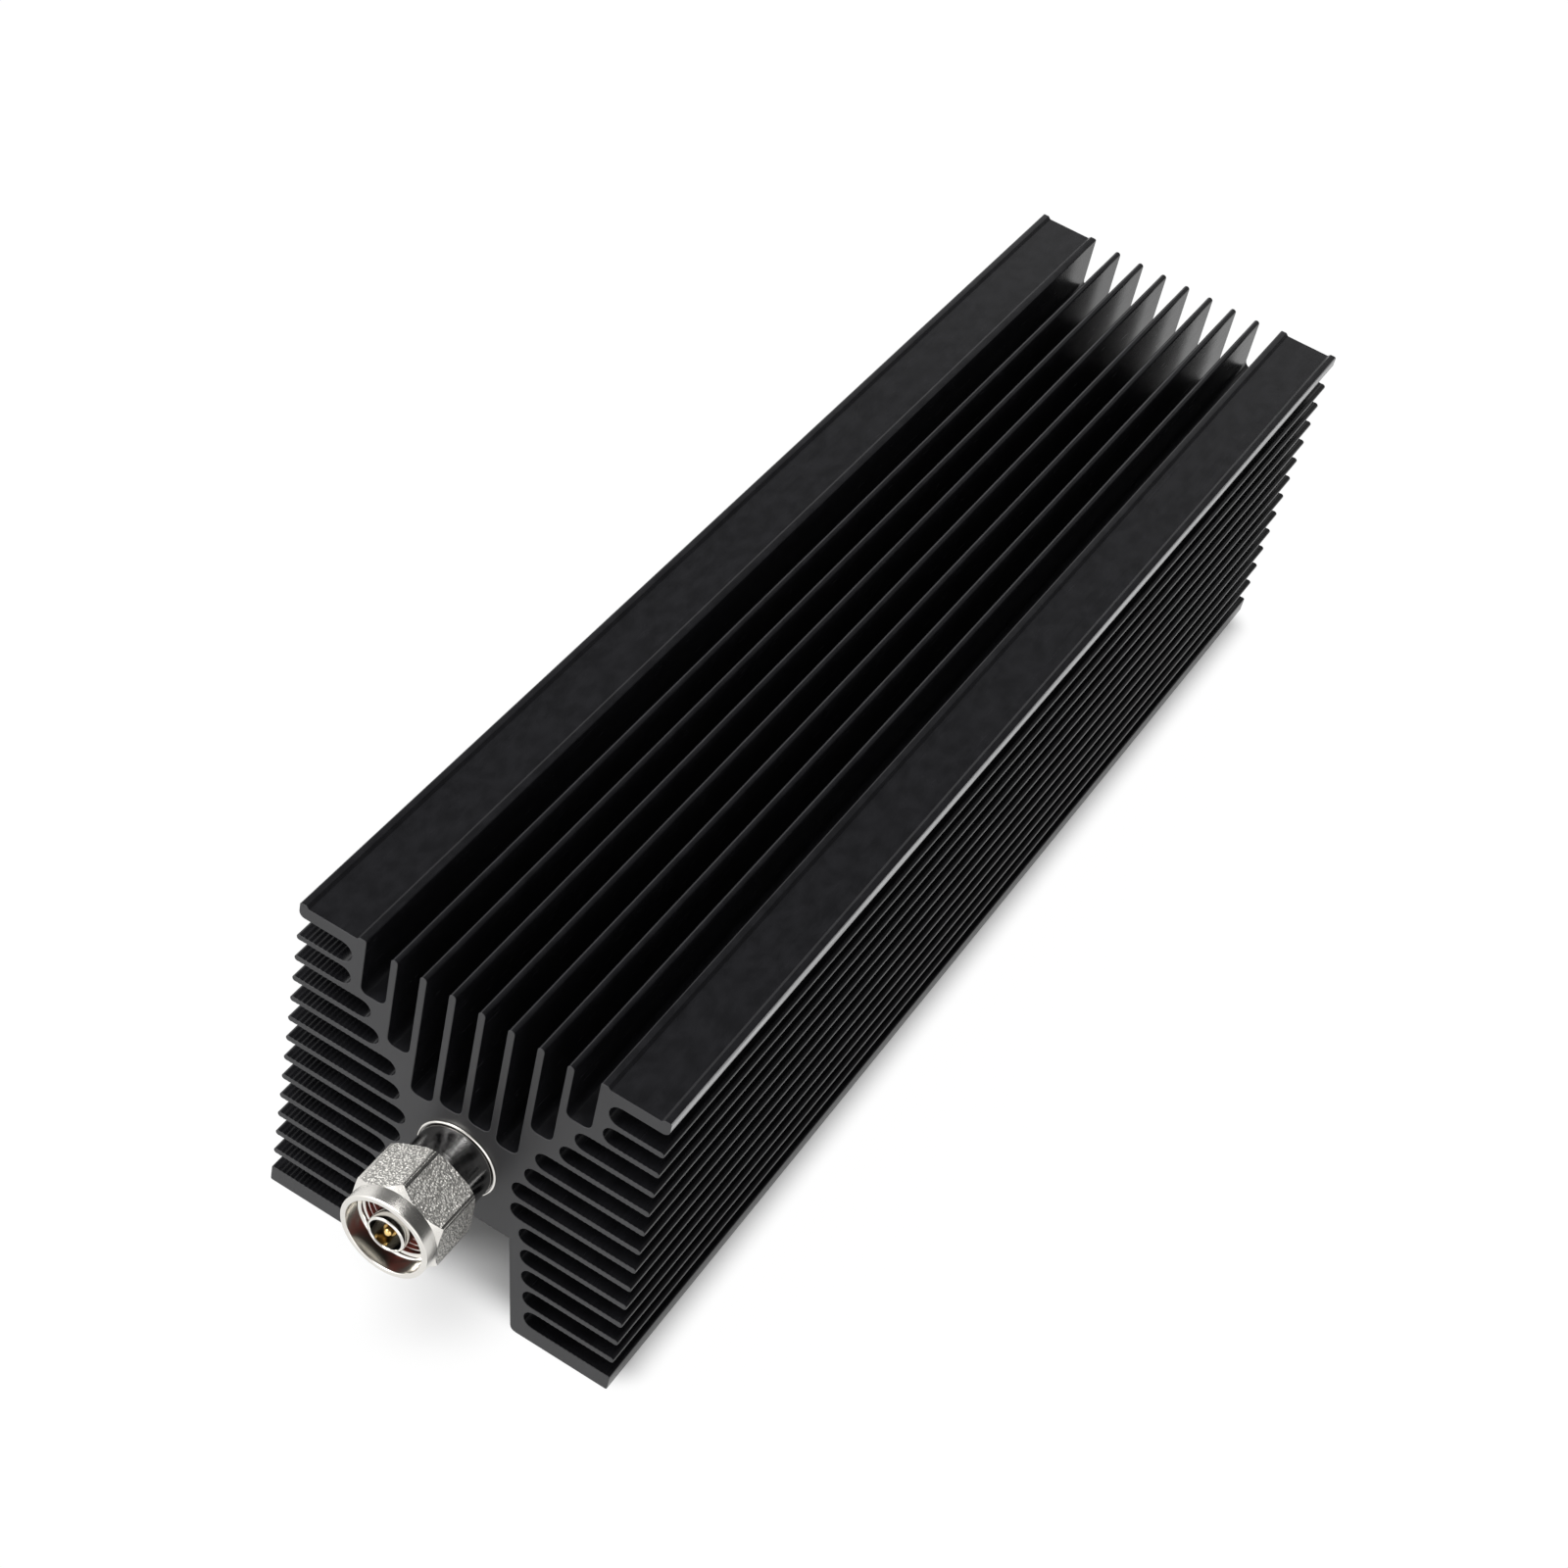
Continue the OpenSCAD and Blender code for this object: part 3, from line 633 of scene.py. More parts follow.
def rounded(corners, radii, steps):
    """Rounds the corners of a closed outline. The result has the given number of points for each corner.

    An arc touches both sides of its corner and turns evenly from one touching point to the other about
    its centre. It takes at most 0.45 of the shorter side.
    """
    back = np.roll(corners, 1, axis=0) - corners
    ahead = np.roll(corners, -1, axis=0) - corners
    room = 0.45 * np.minimum(np.linalg.norm(back, axis=1), np.linalg.norm(ahead, axis=1))
    back = unit(back)
    ahead = unit(ahead)
    half = np.arccos(np.clip(np.sum(back * ahead, axis=1), -1, 1)) / 2
    reach = np.minimum(radii / np.tan(half), room)[:, None]
    centre = corners + unit(back + ahead) * reach / np.cos(half)[:, None]
    first = (corners + back * reach - centre)[:, None, :]
    last = (corners + ahead * reach - centre)[:, None, :]
    turn = (np.pi - 2 * half)[:, None, None]
    share = np.linspace(0, 1, steps)[None, :, None]
    swept = first * np.sin((1 - share) * turn) + last * np.sin(share * turn)
    return centre[:, None, :] + swept / np.sin(turn)


def outward(points):
    """The outward normal of each side of an anticlockwise outline, from a point to the next."""
    side = np.roll(points, -1, axis=0) - points
    return unit(np.stack([side[:, 1], -side[:, 0]], axis=1))


def inset(points, distance):
    """The outline moved into its material by the distance, each point along its mitre."""
    ahead = outward(points)
    back = np.roll(ahead, 1, axis=0)
    mitre = (ahead + back) / (1 + np.sum(ahead * back, axis=1, keepdims=True))
    return points - distance * mitre


def rippled(points, settings):
    """Adds the ripples to the long level sides of an outline that end at the side fins' tips.

    Each such side gets evenly spaced points, eight or more to a pitch. A point moves into the fin by
    depth times half of one minus the cosine of its distance from the tip, one turn for each pitch. The
    ripples fade out over one pitch at both ends of the side.
    """
    after = np.roll(points, -1, axis=0)
    side = after - points
    length = np.linalg.norm(side, axis=1)
    root, reach = np.sort(np.abs([points[:, 0], after[:, 0]]), axis=0)
    is_level = np.abs(side[:, 1]) < GRAIN
    is_long = (length > FIN_FACE) & (length < sink_high.x)
    fin_side = is_level & is_long & (reach > sink_high.x - FIN_TIP)
    feet = np.abs(points[:, 1] - points[fin_side, 1].min()) < GRAIN
    rails = np.abs(points[:, 1] - points[fin_side, 1].max()) < GRAIN
    fin_side &= ~feet & ~rails
    step = settings.ripple_pitch / 8
    counts = np.where(fin_side, np.ceil(length / step), 1).astype(int)
    which = np.repeat(np.arange(len(points)), counts)
    share = (np.arange(len(which)) - np.repeat(np.cumsum(counts) - counts, counts)) / counts[which]
    spread = points[which] + share[:, None] * side[which]
    from_tip = reach[which] - np.abs(spread[:, 0])
    from_root = np.abs(spread[:, 0]) - root[which]
    fade = np.clip(np.minimum(from_tip, from_root) / settings.ripple_pitch, 0, 1)
    wave = 0.5 - 0.5 * np.cos(2 * np.pi * from_tip / settings.ripple_pitch)
    dent = settings.ripple_depth * wave * fade * fin_side[which]
    return spread - dent[:, None] * outward(points)[which]


def with_round_rails(points, radius):
    """Gives the lower corner of both rails' outer ends a larger radius.

    The new corner is a quarter turn from the underside to the side face, about a centre one radius
    inside both. It takes the place of the outline's points further out and lower than that centre.
    """
    turn = np.linspace(0, np.pi / 2, 13)
    for side in (1, -1):
        beyond = side * points[:, 0] > sink_high.x - radius
        first = np.flatnonzero(~beyond)[0]
        points = np.roll(points, -first, axis=0)
        stretch = np.cumsum(np.diff(np.roll(beyond, -first), prepend=False))
        end = stretch == stretch[np.argmax(side * points[:, 0] + points[:, 1])]
        underside = points[end, 1].min()
        old = np.flatnonzero(end & (points[:, 1] < underside + radius))
        corner = np.stack([sink_high.x - radius + radius * np.sin(turn),
                           underside + radius - radius * np.cos(turn)], axis=1)
        corner = (corner * (side, 1))[::side]
        points = np.concatenate([points[:old[0]], corner, points[old[-1] + 1:]])
    return points


def grid_quads(rows, columns, wrap_rows=False, wrap_columns=False):
    """The corners of the quads of a grid of vertices, numbered row by row."""
    down = np.arange(rows if wrap_rows else rows - 1)
    along = np.arange(columns if wrap_columns else columns - 1)
    row, column = (part.ravel() for part in np.meshgrid(down, along, indexing="ij"))
    next_row = (row + 1) % rows
    next_column = (column + 1) % columns
    return np.stack([row * columns + column, row * columns + next_column,
                     next_row * columns + next_column, next_row * columns + column], axis=1)


def mesh_from(name, places, *faces):
    """A mesh from an array of vertices and from arrays of faces, one for each number of corners."""
    corners = np.concatenate([part.ravel() for part in faces])
    sizes = np.concatenate([np.full(len(part), part.shape[1]) for part in faces])
    mesh = bpy.data.meshes.new(name)
    mesh.vertices.add(len(places))
    mesh.vertices.foreach_set("co", np.asarray(places, np.float32).ravel())
    mesh.loops.add(len(corners))
    mesh.loops.foreach_set("vertex_index", corners.astype(np.int32))
    mesh.polygons.add(len(sizes))
    mesh.polygons.foreach_set("loop_start", (np.cumsum(sizes) - sizes).astype(np.int32))
    mesh.update(calc_edges=True)
    return mesh


def extruded_mesh(name, outer, bore, bevel):
    """The heat sink's section carried along Y with bevelled ends and both ends filled.

    Each of the four rows is the whole section: the outer outline's points and then the bore's.
    """
    section = np.concatenate([outer, bore])
    narrow = np.concatenate([inset(outer, bevel), inset(bore, bevel)])
    rows = np.stack([narrow, section, section, narrow])
    distances = np.array([sink_low.y, sink_low.y + bevel, sink_high.y - bevel, sink_high.y])
    along = np.broadcast_to(distances[:, None], rows.shape[:2])
    places = np.stack([rows[:, :, 0], along, rows[:, :, 1]], axis=-1)
    here = np.arange(len(section))
    following = np.concatenate([np.roll(here[:len(outer)], -1), np.roll(here[len(outer):], -1)])
    wall = np.stack([here, following, following + len(section), here + len(section)], axis=1)
    walls = (wall + len(section) * np.arange(3)[:, None, None]).reshape(-1, 4)
    flat = [Vector(point) for point in narrow / MM]
    # 1 asks for triangles inside the outlines alone. Points within 1e-6 mm would be joined
    filled = delaunay_2d_cdt(flat, wall[:, :2].tolist(), [], 1, 1e-6)
    cap = np.array(filled[2])
    # A triangle whose corners are all on the bore's circle lies in the bore
    cap = cap[(cap < len(outer)).any(axis=1)]
    if len(filled[0]) != len(section):
        raise RuntimeError("The end of the extrusion doesn't keep its points")
    return mesh_from(name, places.reshape(-1, 3), walls, cap, cap + 3 * len(section))


def in_scene(name, data):
    """A new object of the scene with the given mesh, light or camera."""
    made = bpy.data.objects.new(name, data)
    bpy.context.scene.collection.objects.link(made)
    return made


def add_piece(mesh, finishes, node):
    """Merges doubles, turns the faces outward, checks that the shell is closed and puts it in the place
    of its node, as a piece with the mesh's name."""
    shell = bmesh.new()
    shell.from_mesh(mesh)
    bmesh.ops.remove_doubles(shell, verts=shell.verts, dist=TOUCH)
    bmesh.ops.recalc_face_normals(shell, faces=shell.faces)
    if any(not edge.is_manifold for edge in shell.edges):
        raise RuntimeError(f"{mesh.name} isn't closed")
    if shell.calc_volume(signed=True) < 0:
        bmesh.ops.reverse_faces(shell, faces=shell.faces)
    shell.to_mesh(mesh)
    shell.free()
    mesh.shade_smooth()
    mesh.set_sharp_from_angle(angle=SHARP)
    for material in finishes:
        mesh.materials.append(material)
    piece = in_scene(mesh.name, mesh)
    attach(piece, frame["nodes"][node]["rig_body"])
    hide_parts(node)


def dress(material, *nodes):
    """Gives CAD nodes that keep their shape their finish."""
    for node in nodes:
        for slot in frame["nodes"][node].material_slots:
            slot.material = material


def around_axis(radii, distances, angles):
    """Places on rings round the connectors' axis: rows of radii and of distances along Y, and an angle
    for each column, from straight up towards +X."""
    radii, distances, angles = np.broadcast_arrays(radii, distances, angles)
    heights = axis_z + radii * np.cos(angles)
    return np.stack([radii * np.sin(angles), distances, heights], axis=-1).reshape(-1, 3)


def turned_mesh(name, outline, columns):
    """A closed outline of (radius, Y) points turned once round the connectors' axis."""
    outline = outline.reshape(-1, 2)
    angles = np.linspace(0, 2 * np.pi, columns, endpoint=False)
    places = around_axis(outline[:, :1], outline[:, 1:], angles[None, :])
    return mesh_from(name, places, grid_quads(len(outline), columns, True, True))


def undercut(corners, settings):
    """Cuts a narrow square groove into the flange's face round the foot of the neck.

    The foot is the inner corner nearest to the heat sink's end face in front of it. Two points on the
    flange's face and one on the neck's foot take its place.
    """
    before = np.roll(corners, 1, axis=0)
    after = np.roll(corners, -1, axis=0)
    turn = ((corners - before)[:, 0] * (after - corners)[:, 1]
            - (corners - before)[:, 1] * (after - corners)[:, 0])
    in_front = corners[:, 1] < sink_low.y - GRAIN
    foot = np.argmax(np.where((turn < 0) & in_front, corners[:, 1], -np.inf))
    radius, distance = corners[foot]
    face = max(before[foot, 0], after[foot, 0])
    rim = radius + 0.6 * (face - radius)
    bottom = distance + settings.undercut
    groove = np.array([[rim, distance], [rim, bottom], [radius, bottom]])
    if before[foot, 0] < after[foot, 0]:
        groove = groove[::-1]
    return np.concatenate([corners[:foot], groove, corners[foot + 1:]])


def thread_rows(start, end, angles, depth):
    """A thread as rows of distances and radii that follow its helix, cut square at both ends.

    The radius is a wave of the distance less one pitch for each turn: an eighth of the pitch at the
    major radius, a flank, a quarter at the minor radius, and a flank back.
    """
    knots = np.array([0, 1 / 8, 7 / 16, 11 / 16, 1])
    levels = thread_radius - depth * np.array([0, 0, 1, 1, 0])
    between = np.sort(np.concatenate([knots[:-1], (knots[:-1] + knots[1:]) / 2]))
    turns = int(np.ceil(abs(end - start) / THREAD_PITCH)) + 1
    marks = (np.arange(turns)[:, None] + between[None, :]).ravel() - 1
    marks = np.concatenate([marks, [turns - 1, turns]])
    towards = np.sign(end - start)
    lead = angles[None, :] / (2 * np.pi)
    passed = np.clip((marks[:, None] + lead) * THREAD_PITCH, 0, abs(end - start))
    phase = (passed / THREAD_PITCH - lead) % 1
    return start + towards * passed, np.interp(phase, knots, levels)


def threaded_mesh(name, corners, edge_round, depth, columns):
    """A turned outline with a thread cut into its longest stretch at the thread's radius.

    The thread runs over that stretch and over the bevels at both of its ends, and its radius is the
    smaller of the thread's wave and the blank's outline.
    """
    after = np.roll(corners, -1, axis=0)
    on_land = (np.abs(corners[:, 0] - thread_radius) < GRAIN) & (np.abs(after[:, 0] - thread_radius) < GRAIN)
    land = np.argmax(np.where(on_land, np.abs(after[:, 1] - corners[:, 1]), 0))
    corners = np.roll(corners, 1 - land, axis=0)
    blank = corners[:4]
    angles = np.linspace(0, 2 * np.pi, columns + 1)
    distances, wave = thread_rows(blank[0, 1], blank[3, 1], angles, depth)
    rising = np.argsort(blank[:, 1])
    radii = np.minimum(wave, np.interp(distances, blank[rising, 1], blank[rising, 0]))
    steps = 4
    arcs = rounded(corners, np.where(np.arange(len(corners)) < 4, 0, edge_round), steps)
    plain = np.concatenate([blank[3:], arcs[4:].reshape(-1, 2), blank[:1]])
    spread = np.ones((1, columns + 1))
    radii = np.concatenate([radii, plain[:, :1] * spread])
    distances = np.concatenate([distances, plain[:, 1:] * spread])
    places = around_axis(radii, distances, angles[None, :])
    return mesh_from(name, places, grid_quads(len(radii), columns + 1, True, False))


def hexagon_columns(settings, across, round_steps):
    """Angles round a rounded hexagon with a corner straight up, its radius at each, and how far each
    lies inside its flat's smooth border.

    On a flat the offset from its middle runs evenly and the radius is the flat's distance over the
    cosine. On a corner the point runs round the corner's own centre.
    """
    flat = settings.across_flats / 2
    half_flat = (flat - settings.corner_round) * np.tan(np.pi / 6)
    offset = np.linspace(-half_flat, half_flat, across)
    turn = np.linspace(0, np.pi / 3, round_steps + 2)[1:-1]
    local_up = np.concatenate([np.full(across, flat),
                               flat - settings.corner_round * (1 - np.cos(turn))])
    local_side = np.concatenate([offset, half_flat + settings.corner_round * np.sin(turn)])
    inside = np.concatenate([half_flat - np.abs(offset), np.zeros(round_steps)])
    sixths = np.pi / 6 + np.arange(6)[:, None] * np.pi / 3
    angles = (sixths + np.arctan2(local_side, local_up)[None, :]).ravel()
    radius = np.hypot(local_side, local_up)
    radii, inside = (np.append(np.tile(part, 6), part[0]) for part in (radius, inside))
    return np.append(angles, angles[0] + 2 * np.pi), radii, inside


def dimples(shape, settings, inside):
    """How deep each point of the dimpled flats lies: seeded random numbers smoothed over their
    neighbours, with four standard deviations over the depth, faded out towards the smooth border."""
    spread = np.random.default_rng(7).random((shape[0], shape[1] - 1))
    smooth = (2 * spread + np.roll(spread, 1, 0) + np.roll(spread, 1, 1)) / 4
    level = np.clip((smooth - smooth.mean()) / (4 * smooth.std()) + 0.5, 0, 1)
    level = np.concatenate([level, level[:, :1]], axis=1)
    return settings.dimple_depth * level * np.clip((inside - settings.dimple_border) / DIMPLE_FADE, 0, 1)


def nut_mesh(name, settings):
    """The coupling nut as rows of points round the axis, each with a radius and a distance from the
    nut's back: the hexagon with dimpled flats, a 30 degree chamfer at its back and a 45 degree one down
    to the ring, the ring with its rounded rim, the plain mouth, the thread, and the bearing with its
    snap ring groove. The second value says which of its quads are dimpled."""
    low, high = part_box("coupling_nut")
    length = high.y - low.y
    angles, hexagon, inside = hexagon_columns(settings, across=42, round_steps=6)
    spread = np.ones((1, len(angles)))
    # Hexagon
    ring = settings.ring_diameter / 2
    chamfer = settings.across_flats / 2 + settings.chamfer_start
    back_crease = np.maximum(hexagon - chamfer, 0) * np.tan(np.pi / 6)
    front_crease = np.maximum(hexagon - ring, 0)
    share = np.linspace(0, 1, 52)[:, None]
    flat_length = settings.hexagon_length - back_crease - front_crease
    from_crease = np.minimum(share, 1 - share) * flat_length
    fade = np.clip(from_crease / (2 * DIMPLE_FADE), 0, 1)
    depth = fade * dimples((len(share), len(angles)), settings, inside[None, :])
    hexagon_radii = np.concatenate([np.minimum(hexagon, chamfer)[None], hexagon[None] - depth,
                                    np.minimum(hexagon, ring)[None]])
    hexagon_marks = np.concatenate([0 * spread, back_crease[None] + share * flat_length,
                                    settings.hexagon_length * spread])
    # Ring, rim, mouth and bearing
    mouth = settings.mouth_diameter / 2
    bearing = settings.journal_bore / 2
    groove = settings.groove_diameter / 2
    groove_end = settings.groove_start + settings.groove_width
    thread_end = length - settings.mouth_depth
    corners = np.array([
        [settings.across_flats / 2, 0], [settings.across_flats / 2, settings.hexagon_length],
        [ring, settings.hexagon_length], [ring, length], [mouth, length], [mouth, thread_end],
        [thread_radius, settings.journal_length], [bearing, settings.journal_length],
        [bearing, groove_end], [groove, groove_end], [groove, settings.groove_start],
        [bearing, settings.groove_start], [bearing, 0]])
    edge = settings.edge_round
    rounding = np.array([0, 0, 0, settings.rim_outside, settings.rim_inside, 0, 0, edge, 0, 0, 0, 0, edge])
    arcs = rounded(corners, rounding, steps=7)
    front = arcs[2:6].reshape(-1, 2)
    back = arcs[6:].reshape(-1, 2)
    # Thread, cut off by a 45 degree countersink at the mouth
    marks, radii = thread_rows(thread_end, settings.journal_length, angles, settings.thread_depth)
    radii = np.maximum(radii, mouth - (thread_end - marks))
    radii = np.concatenate([hexagon_radii, front[:, :1] * spread, radii, back[:, :1] * spread])
    marks = np.concatenate([hexagon_marks, front[:, 1:] * spread, marks, back[:, 1:] * spread])
    places = around_axis(radii, high.y - marks, angles[None, :])
    quads = grid_quads(len(radii), len(angles), True, False)
    row = quads[:, 0] // len(angles)
    column = quads[:, 0] % len(angles)
    on_flat = (inside[column] > 0.8 * settings.dimple_border) & (row > 0) & (row < len(share))
    return mesh_from(name, places, quads), on_flat


def settings_of(context):
    return context.scene.attenuator


class ATTENUATOR_OT_heat_sink(bpy.types.Operator):
    """Builds the finned heat sink with its rippled side fins"""
    bl_idname = "attenuator.heat_sink"
    bl_label = "Heat sink"

    def execute(self, context):
        settings = settings_of(context).sink
        outer, bore = end_outlines("heat_sink")
        outer = with_round_rails(rippled(outer, settings), settings.rail_round)
        mesh = extruded_mesh("sink_extrusion", outer, bore, settings.end_bevel)
        finishes = [finish("Anodised black", anodised, settings), finish("Sawn black", sawn, settings)]
        add_piece(mesh, finishes, "heat_sink")
        is_end = np.abs(threes(mesh.polygons, "normal", np.float32)[:, 1]) > 0.5
        mesh.polygons.foreach_set("material_index", is_end.astype(np.int32))
        return {"FINISHED"}


class ATTENUATOR_OT_coupling_nut(bpy.types.Operator):
    """Builds the coupling nut with its hexagon, rim and inner thread"""
    bl_idname = "attenuator.coupling_nut"
    bl_label = "Coupling nut"

    def execute(self, context):
        settings = settings_of(context).connector
        mesh, on_flat = nut_mesh("nut_shell", settings)
        mesh.polygons.foreach_set("material_index", on_flat.astype(np.int32))
        bore = (settings.mouth_diameter + 0.2 * MM) / 2
        finishes = [finish("Turned nickel nut", turned_nickel, settings.nickel, satin=0.22, bore=bore),
                    finish("Blasted nickel", blasted_nickel, settings.nickel)]
        add_piece(mesh, finishes, "coupling_nut")
        return {"FINISHED"}


class ATTENUATOR_OT_plug(bpy.types.Operator):
    """Builds the plug's shell and gasket, and finishes its pin, bead, bush and snap ring"""
    bl_idname = "attenuator.plug"
    bl_label = "Plug"

    def execute(self, context):
        settings = settings_of(context).connector
        nickel = finish("Turned nickel plug", plug_nickel, settings.nickel, settings.neck)
        outline = rounded(undercut(turned_outline("plug_body"), settings), settings.edge_round, steps=4)
        shell = turned_mesh("plug_shell", outline, columns=224)
        add_piece(shell, [nickel], "plug_body")
        silicone = finish("Red silicone", moulded_silicone, settings.silicone)
        outline = rounded(turned_outline("plug_gasket"), settings.gasket_round, steps=8)
        gasket = turned_mesh("face_gasket", outline, columns=160)
        add_piece(gasket, [silicone], "plug_gasket")
        dress(finish("Gold pin", gold_plate, settings.gold), "plug_pin")
        dress(finish("White bead front", skived_plastic, settings.plastic), "plug_bead")
        dress(finish("Nickel bush front", turned_nickel, settings.nickel), "plug_bush")
        steel = settings_of(context).carrier.steel
        dress(finish("Spring steel", spring_steel, steel), "nut_snap_ring")
        return {"FINISHED"}


class ATTENUATOR_OT_jack(bpy.types.Operator):
    """Builds the jack's threaded shell, and finishes its contact, bead and bush"""
    bl_idname = "attenuator.jack"
    bl_label = "Jack"

    def execute(self, context):
        settings = settings_of(context).connector
        nickel = finish("Turned nickel jack", turned_nickel, settings.nickel)
        outline = turned_outline("jack_body")
        shell = threaded_mesh("jack_shell", outline, settings.edge_round, settings.thread_depth, columns=216)
        add_piece(shell, [nickel], "jack_body")
        dress(finish("Gold socket", gold_plate, settings.gold), "jack_contact")
        dress(finish("White bead back", skived_plastic, settings.plastic), "jack_bead")
        dress(finish("Nickel bush back", turned_nickel, settings.nickel), "jack_bush")
        return {"FINISHED"}


class ATTENUATOR_OT_carrier(bpy.types.Operator):
    """Finishes the split carrier and its screws"""
    bl_idname = "attenuator.carrier"
    bl_label = "Carrier"

    def execute(self, context):
        settings = settings_of(context).carrier
        aluminium = finish("Milled aluminium", milled_aluminium, settings.aluminium)
        dress(aluminium, "carrier_upper", "carrier_lower")
        dress(finish("Screw steel", spring_steel, settings.steel), "carrier_screws")
        return {"FINISHED"}


class ATTENUATOR_OT_film_cards(bpy.types.Operator):
    """Finishes the three film cards and the tabs that join them"""
    bl_idname = "attenuator.film_cards"
    bl_label = "Film cards"

    def execute(self, context):
        settings = settings_of(context).carrier
        for node in ("input_card", "middle_card", "output_card"):
            dress(finish(f"Film on {node}", film_card, settings, *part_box(node)), node)
        gold = finish("Gold tabs", gold_plate, settings_of(context).connector.gold)
        dress(gold, "input_tab", "front_link", "rear_link", "output_tab")
        return {"FINISHED"}


class ATTENUATOR_OT_studio(bpy.types.Operator):
    """Adds the floor, the surroundings, the softboxes and the camera"""
    bl_idname = "attenuator.studio"
    bl_label = "Studio"

    def execute(self, context):
        settings = settings_of(context).studio
        context.scene.view_settings.view_transform = "Standard"
        self.lay_floor(settings)
        self.light_world(context, settings)
        self.hang_softbox("key_softbox", settings.key_light, place=(-0.72, -0.45, 1.0), size=(0.7, 0.7))
        self.hang_softbox("top_softbox", settings.top_light, place=(-0.15, -0.15, 1.2), size=(0.5, 0.9))
        self.set_camera(context, settings)
        return {"FINISHED"}

    def lay_floor(self, settings):
        """A level floor that is lit near the object and fades to plain white a little further out."""
        line = np.linspace(-0.5, 0.5, 3) * settings.floor_size
        across, along = np.meshgrid(line, line)
        places = np.stack([across, along, np.full_like(across, FLOOR_HEIGHT)], axis=-1).reshape(-1, 3)
        mesh = mesh_from("floor", places, grid_quads(3, 3))
        mesh.materials.append(finish("Floor", self.floor_paint, settings))
        in_scene("floor", mesh)

    def floor_paint(self, nodes, settings):
        """The camera and mirrors see white that gives way to the floor's own paint close to the heat
        sink and under the connectors. Light that the floor scatters comes from the paint alone."""
        camera = nodes.add("ShaderNodeLightPath", output="Is Camera Ray")
        rays = camera.socket.node.outputs
        seen = camera + Value(nodes, rays["Is Glossy Ray"]) + Value(nodes, rays["Is Transmission Ray"])
        middle = (sink_low.y + sink_high.y) / 2
        half_length = sink_high.y - middle
        darkest = (sink_high.x - SHADE_INSET[0], half_length - SHADE_INSET[1], 1)
        from_sink = distance_past(nodes, (0, middle, 0), darkest)
        from_plugs = distance_past(nodes, (PLUG_SHADE_SIDE, middle, 0), (0, half_length, 1))
        plain = (ramp(from_sink, 0, settings.sink_shade)
                 * ramp(from_plugs, 0, settings.plug_shade))
        return {
            "Base Color": grey(settings.floor_white * (1 - plain * seen)),
            "Roughness": 0.8,
            "Specular IOR Level": 0.1,
            "Emission Color": grey(seen * plain),
            "Emission Strength": 1.0,
        }

    def light_world(self, context, settings):
        """A dim room with pale walls up to a third of the height, but for the one at the back right,
        told apart by the direction."""
        world = bpy.data.worlds.new("studio_world")
        context.scene.world = world
        nodes = Nodes(world)
        across, back, up = parts_of(nodes.add("ShaderNodeTexCoord", output="Generated"))
        wall_top = np.sin(np.radians((27, 36)))
        low = 1 - ramp(up, *wall_top)
        dark_corner = ramp(across, 0.2, 0.6) * ramp(back, -0.4, 0.2)
        level = ramp(back, -0.5, 0.1, settings.room, settings.ceiling)
        level = level + settings.walls * low * (1 - dark_corner)
        sky = nodes.add("ShaderNodeBackground", None, {"Color": grey(level), "Strength": 1.0})
        nodes.add("ShaderNodeOutputWorld", None, {"Surface": sky})

    def hang_softbox(self, name, power, place, size):
        """A rectangular light that faces the middle of the object."""
        light = bpy.data.lights.new(name, "AREA")
        light.shape = "RECTANGLE"
        light.size, light.size_y = size
        light.energy = power
        softbox = in_scene(name, light)
        softbox.location = place
        aim = Vector((0, 0, axis_z)) - Vector(place)
        softbox.rotation_euler = aim.to_track_quat("-Z", "Y").to_euler()
        softbox.visible_camera = False

    def set_camera(self, context, settings):
        """The camera at its place, looking at its aim and turned about its line of sight."""
        camera = bpy.data.cameras.new("camera")
        camera.lens = settings.lens
        camera.sensor_width = 36
        camera.clip_start = 0.01
        camera.clip_end = 100
        stand = in_scene("camera", camera)
        place = Vector(settings.camera_place)
        look = (Vector(settings.camera_aim) - place).to_track_quat("-Z", "Y").to_matrix().to_4x4()
        stand.matrix_world = Matrix.Translation(place) @ look @ Matrix.Rotation(settings.camera_roll, 4, "Z")
        context.scene.camera = stand


class ATTENUATOR_PT_sidebar(bpy.types.Panel):
    """The attenuator's settings and the buttons that build it"""
    bl_idname = "ATTENUATOR_PT_sidebar"
    bl_label = "Coaxial attenuator"
    bl_space_type = "VIEW_3D"
    bl_region_type = "UI"
    bl_category = "Attenuator"

    def draw(self, context):
        settings = settings_of(context)
        for group in (settings.sink, settings.connector, settings.carrier, settings.studio):
            box = self.layout.box()
            for name in group.__annotations__:
                box.prop(group, name)
        for operator in OPERATORS:
            self.layout.operator(operator.bl_idname)


GROUPS = (SinkSettings, ConnectorSettings, CarrierSettings, StudioSettings, AttenuatorSettings)
OPERATORS = (
    ATTENUATOR_OT_heat_sink,
    ATTENUATOR_OT_coupling_nut,
    ATTENUATOR_OT_plug,
    ATTENUATOR_OT_jack,
    ATTENUATOR_OT_carrier,
    ATTENUATOR_OT_film_cards,
    ATTENUATOR_OT_studio,
)


def register():
    for made in (*GROUPS, *OPERATORS, ATTENUATOR_PT_sidebar):
        bpy.utils.register_class(made)
    bpy.types.Scene.attenuator = bpy.props.PointerProperty(type=AttenuatorSettings)


def unregister():
    del bpy.types.Scene.attenuator
    for made in reversed((*GROUPS, *OPERATORS, ATTENUATOR_PT_sidebar)):
        bpy.utils.unregister_class(made)


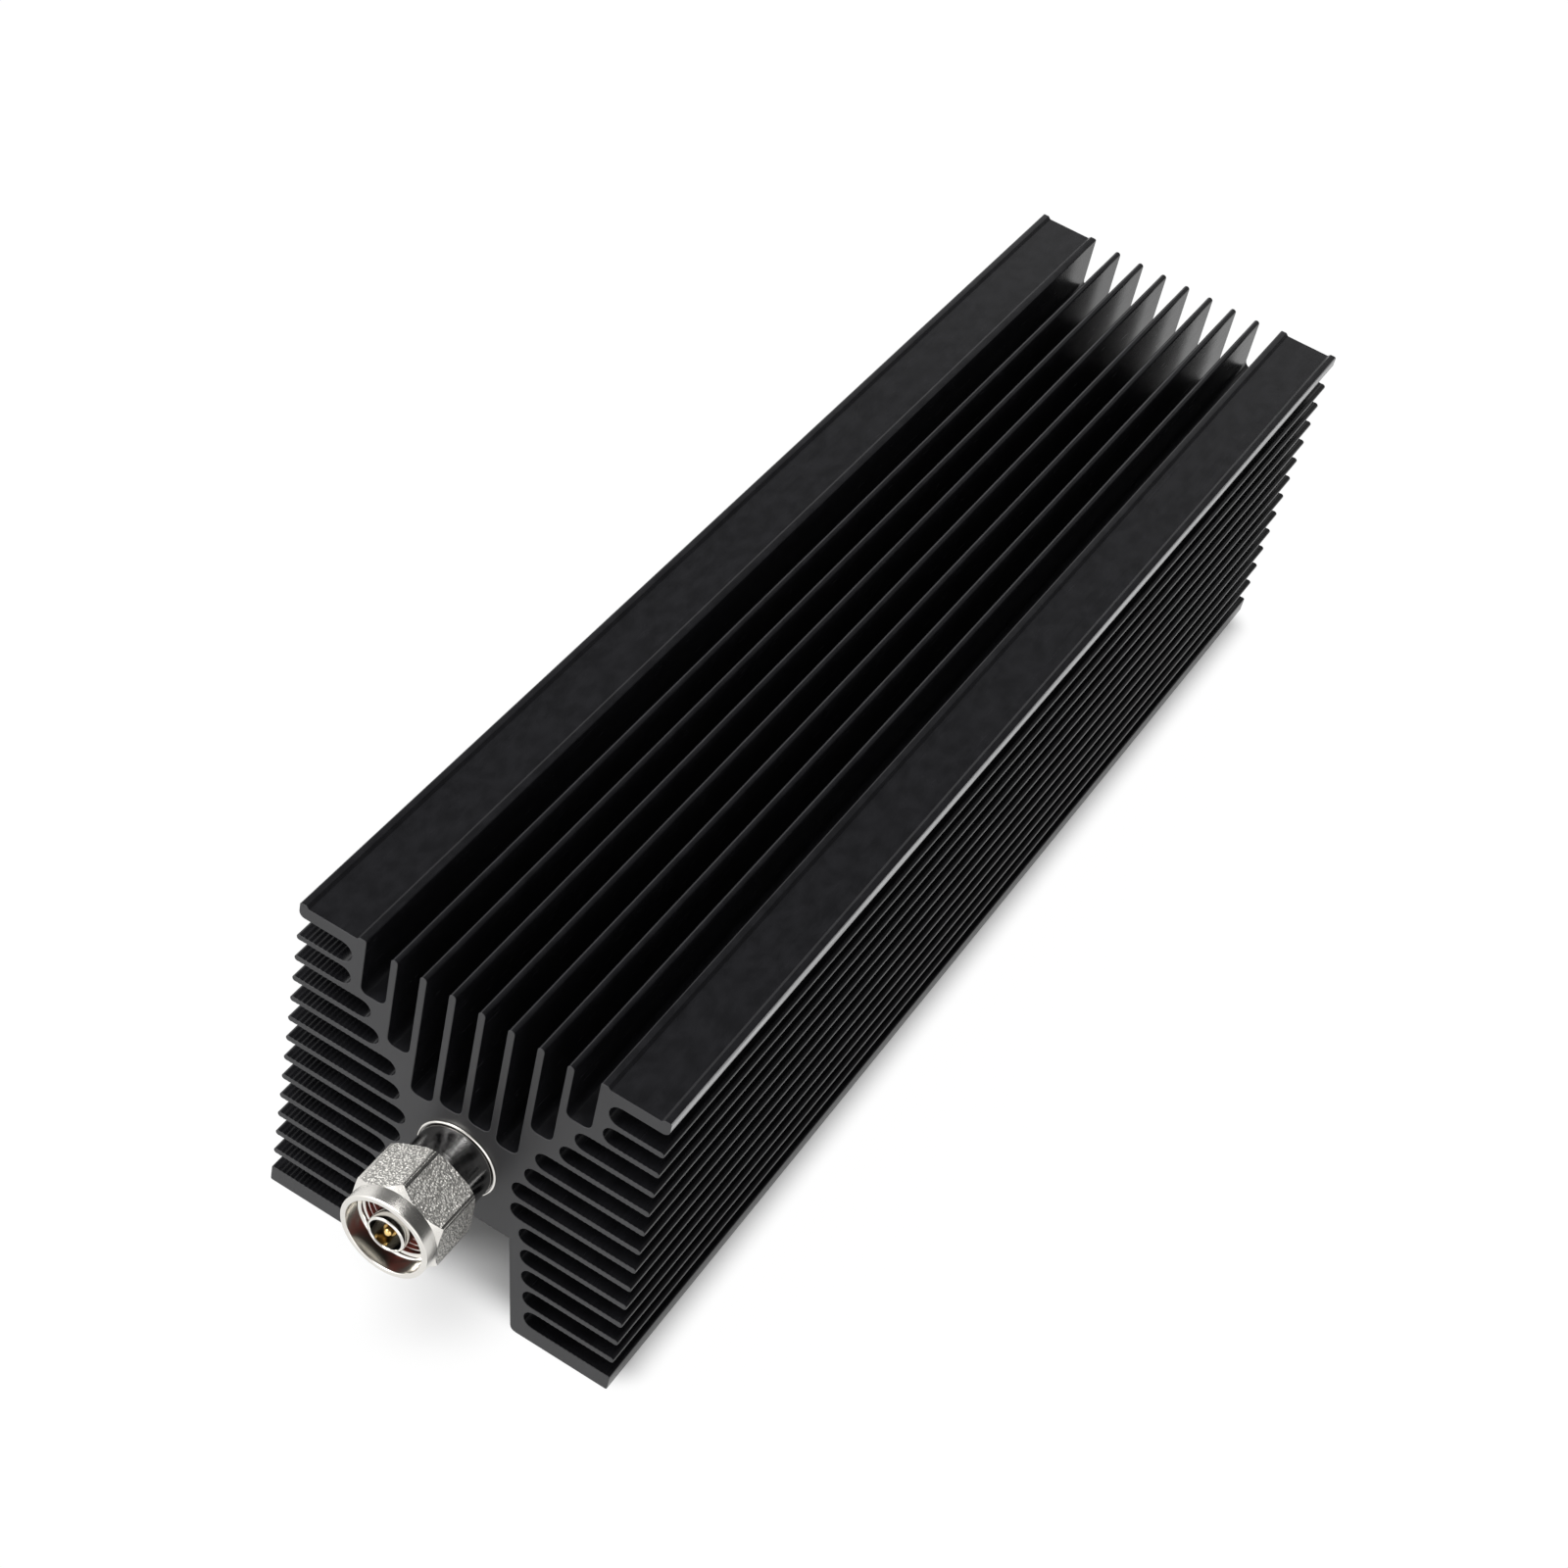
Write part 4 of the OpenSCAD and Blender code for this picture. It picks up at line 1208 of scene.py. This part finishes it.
def main():
    """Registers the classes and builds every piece."""
    register()
    bpy.ops.attenuator.heat_sink()
    bpy.ops.attenuator.coupling_nut()
    bpy.ops.attenuator.plug()
    bpy.ops.attenuator.jack()
    bpy.ops.attenuator.carrier()
    bpy.ops.attenuator.film_cards()
    bpy.ops.attenuator.studio()


if __name__ == "__main__":
    main()
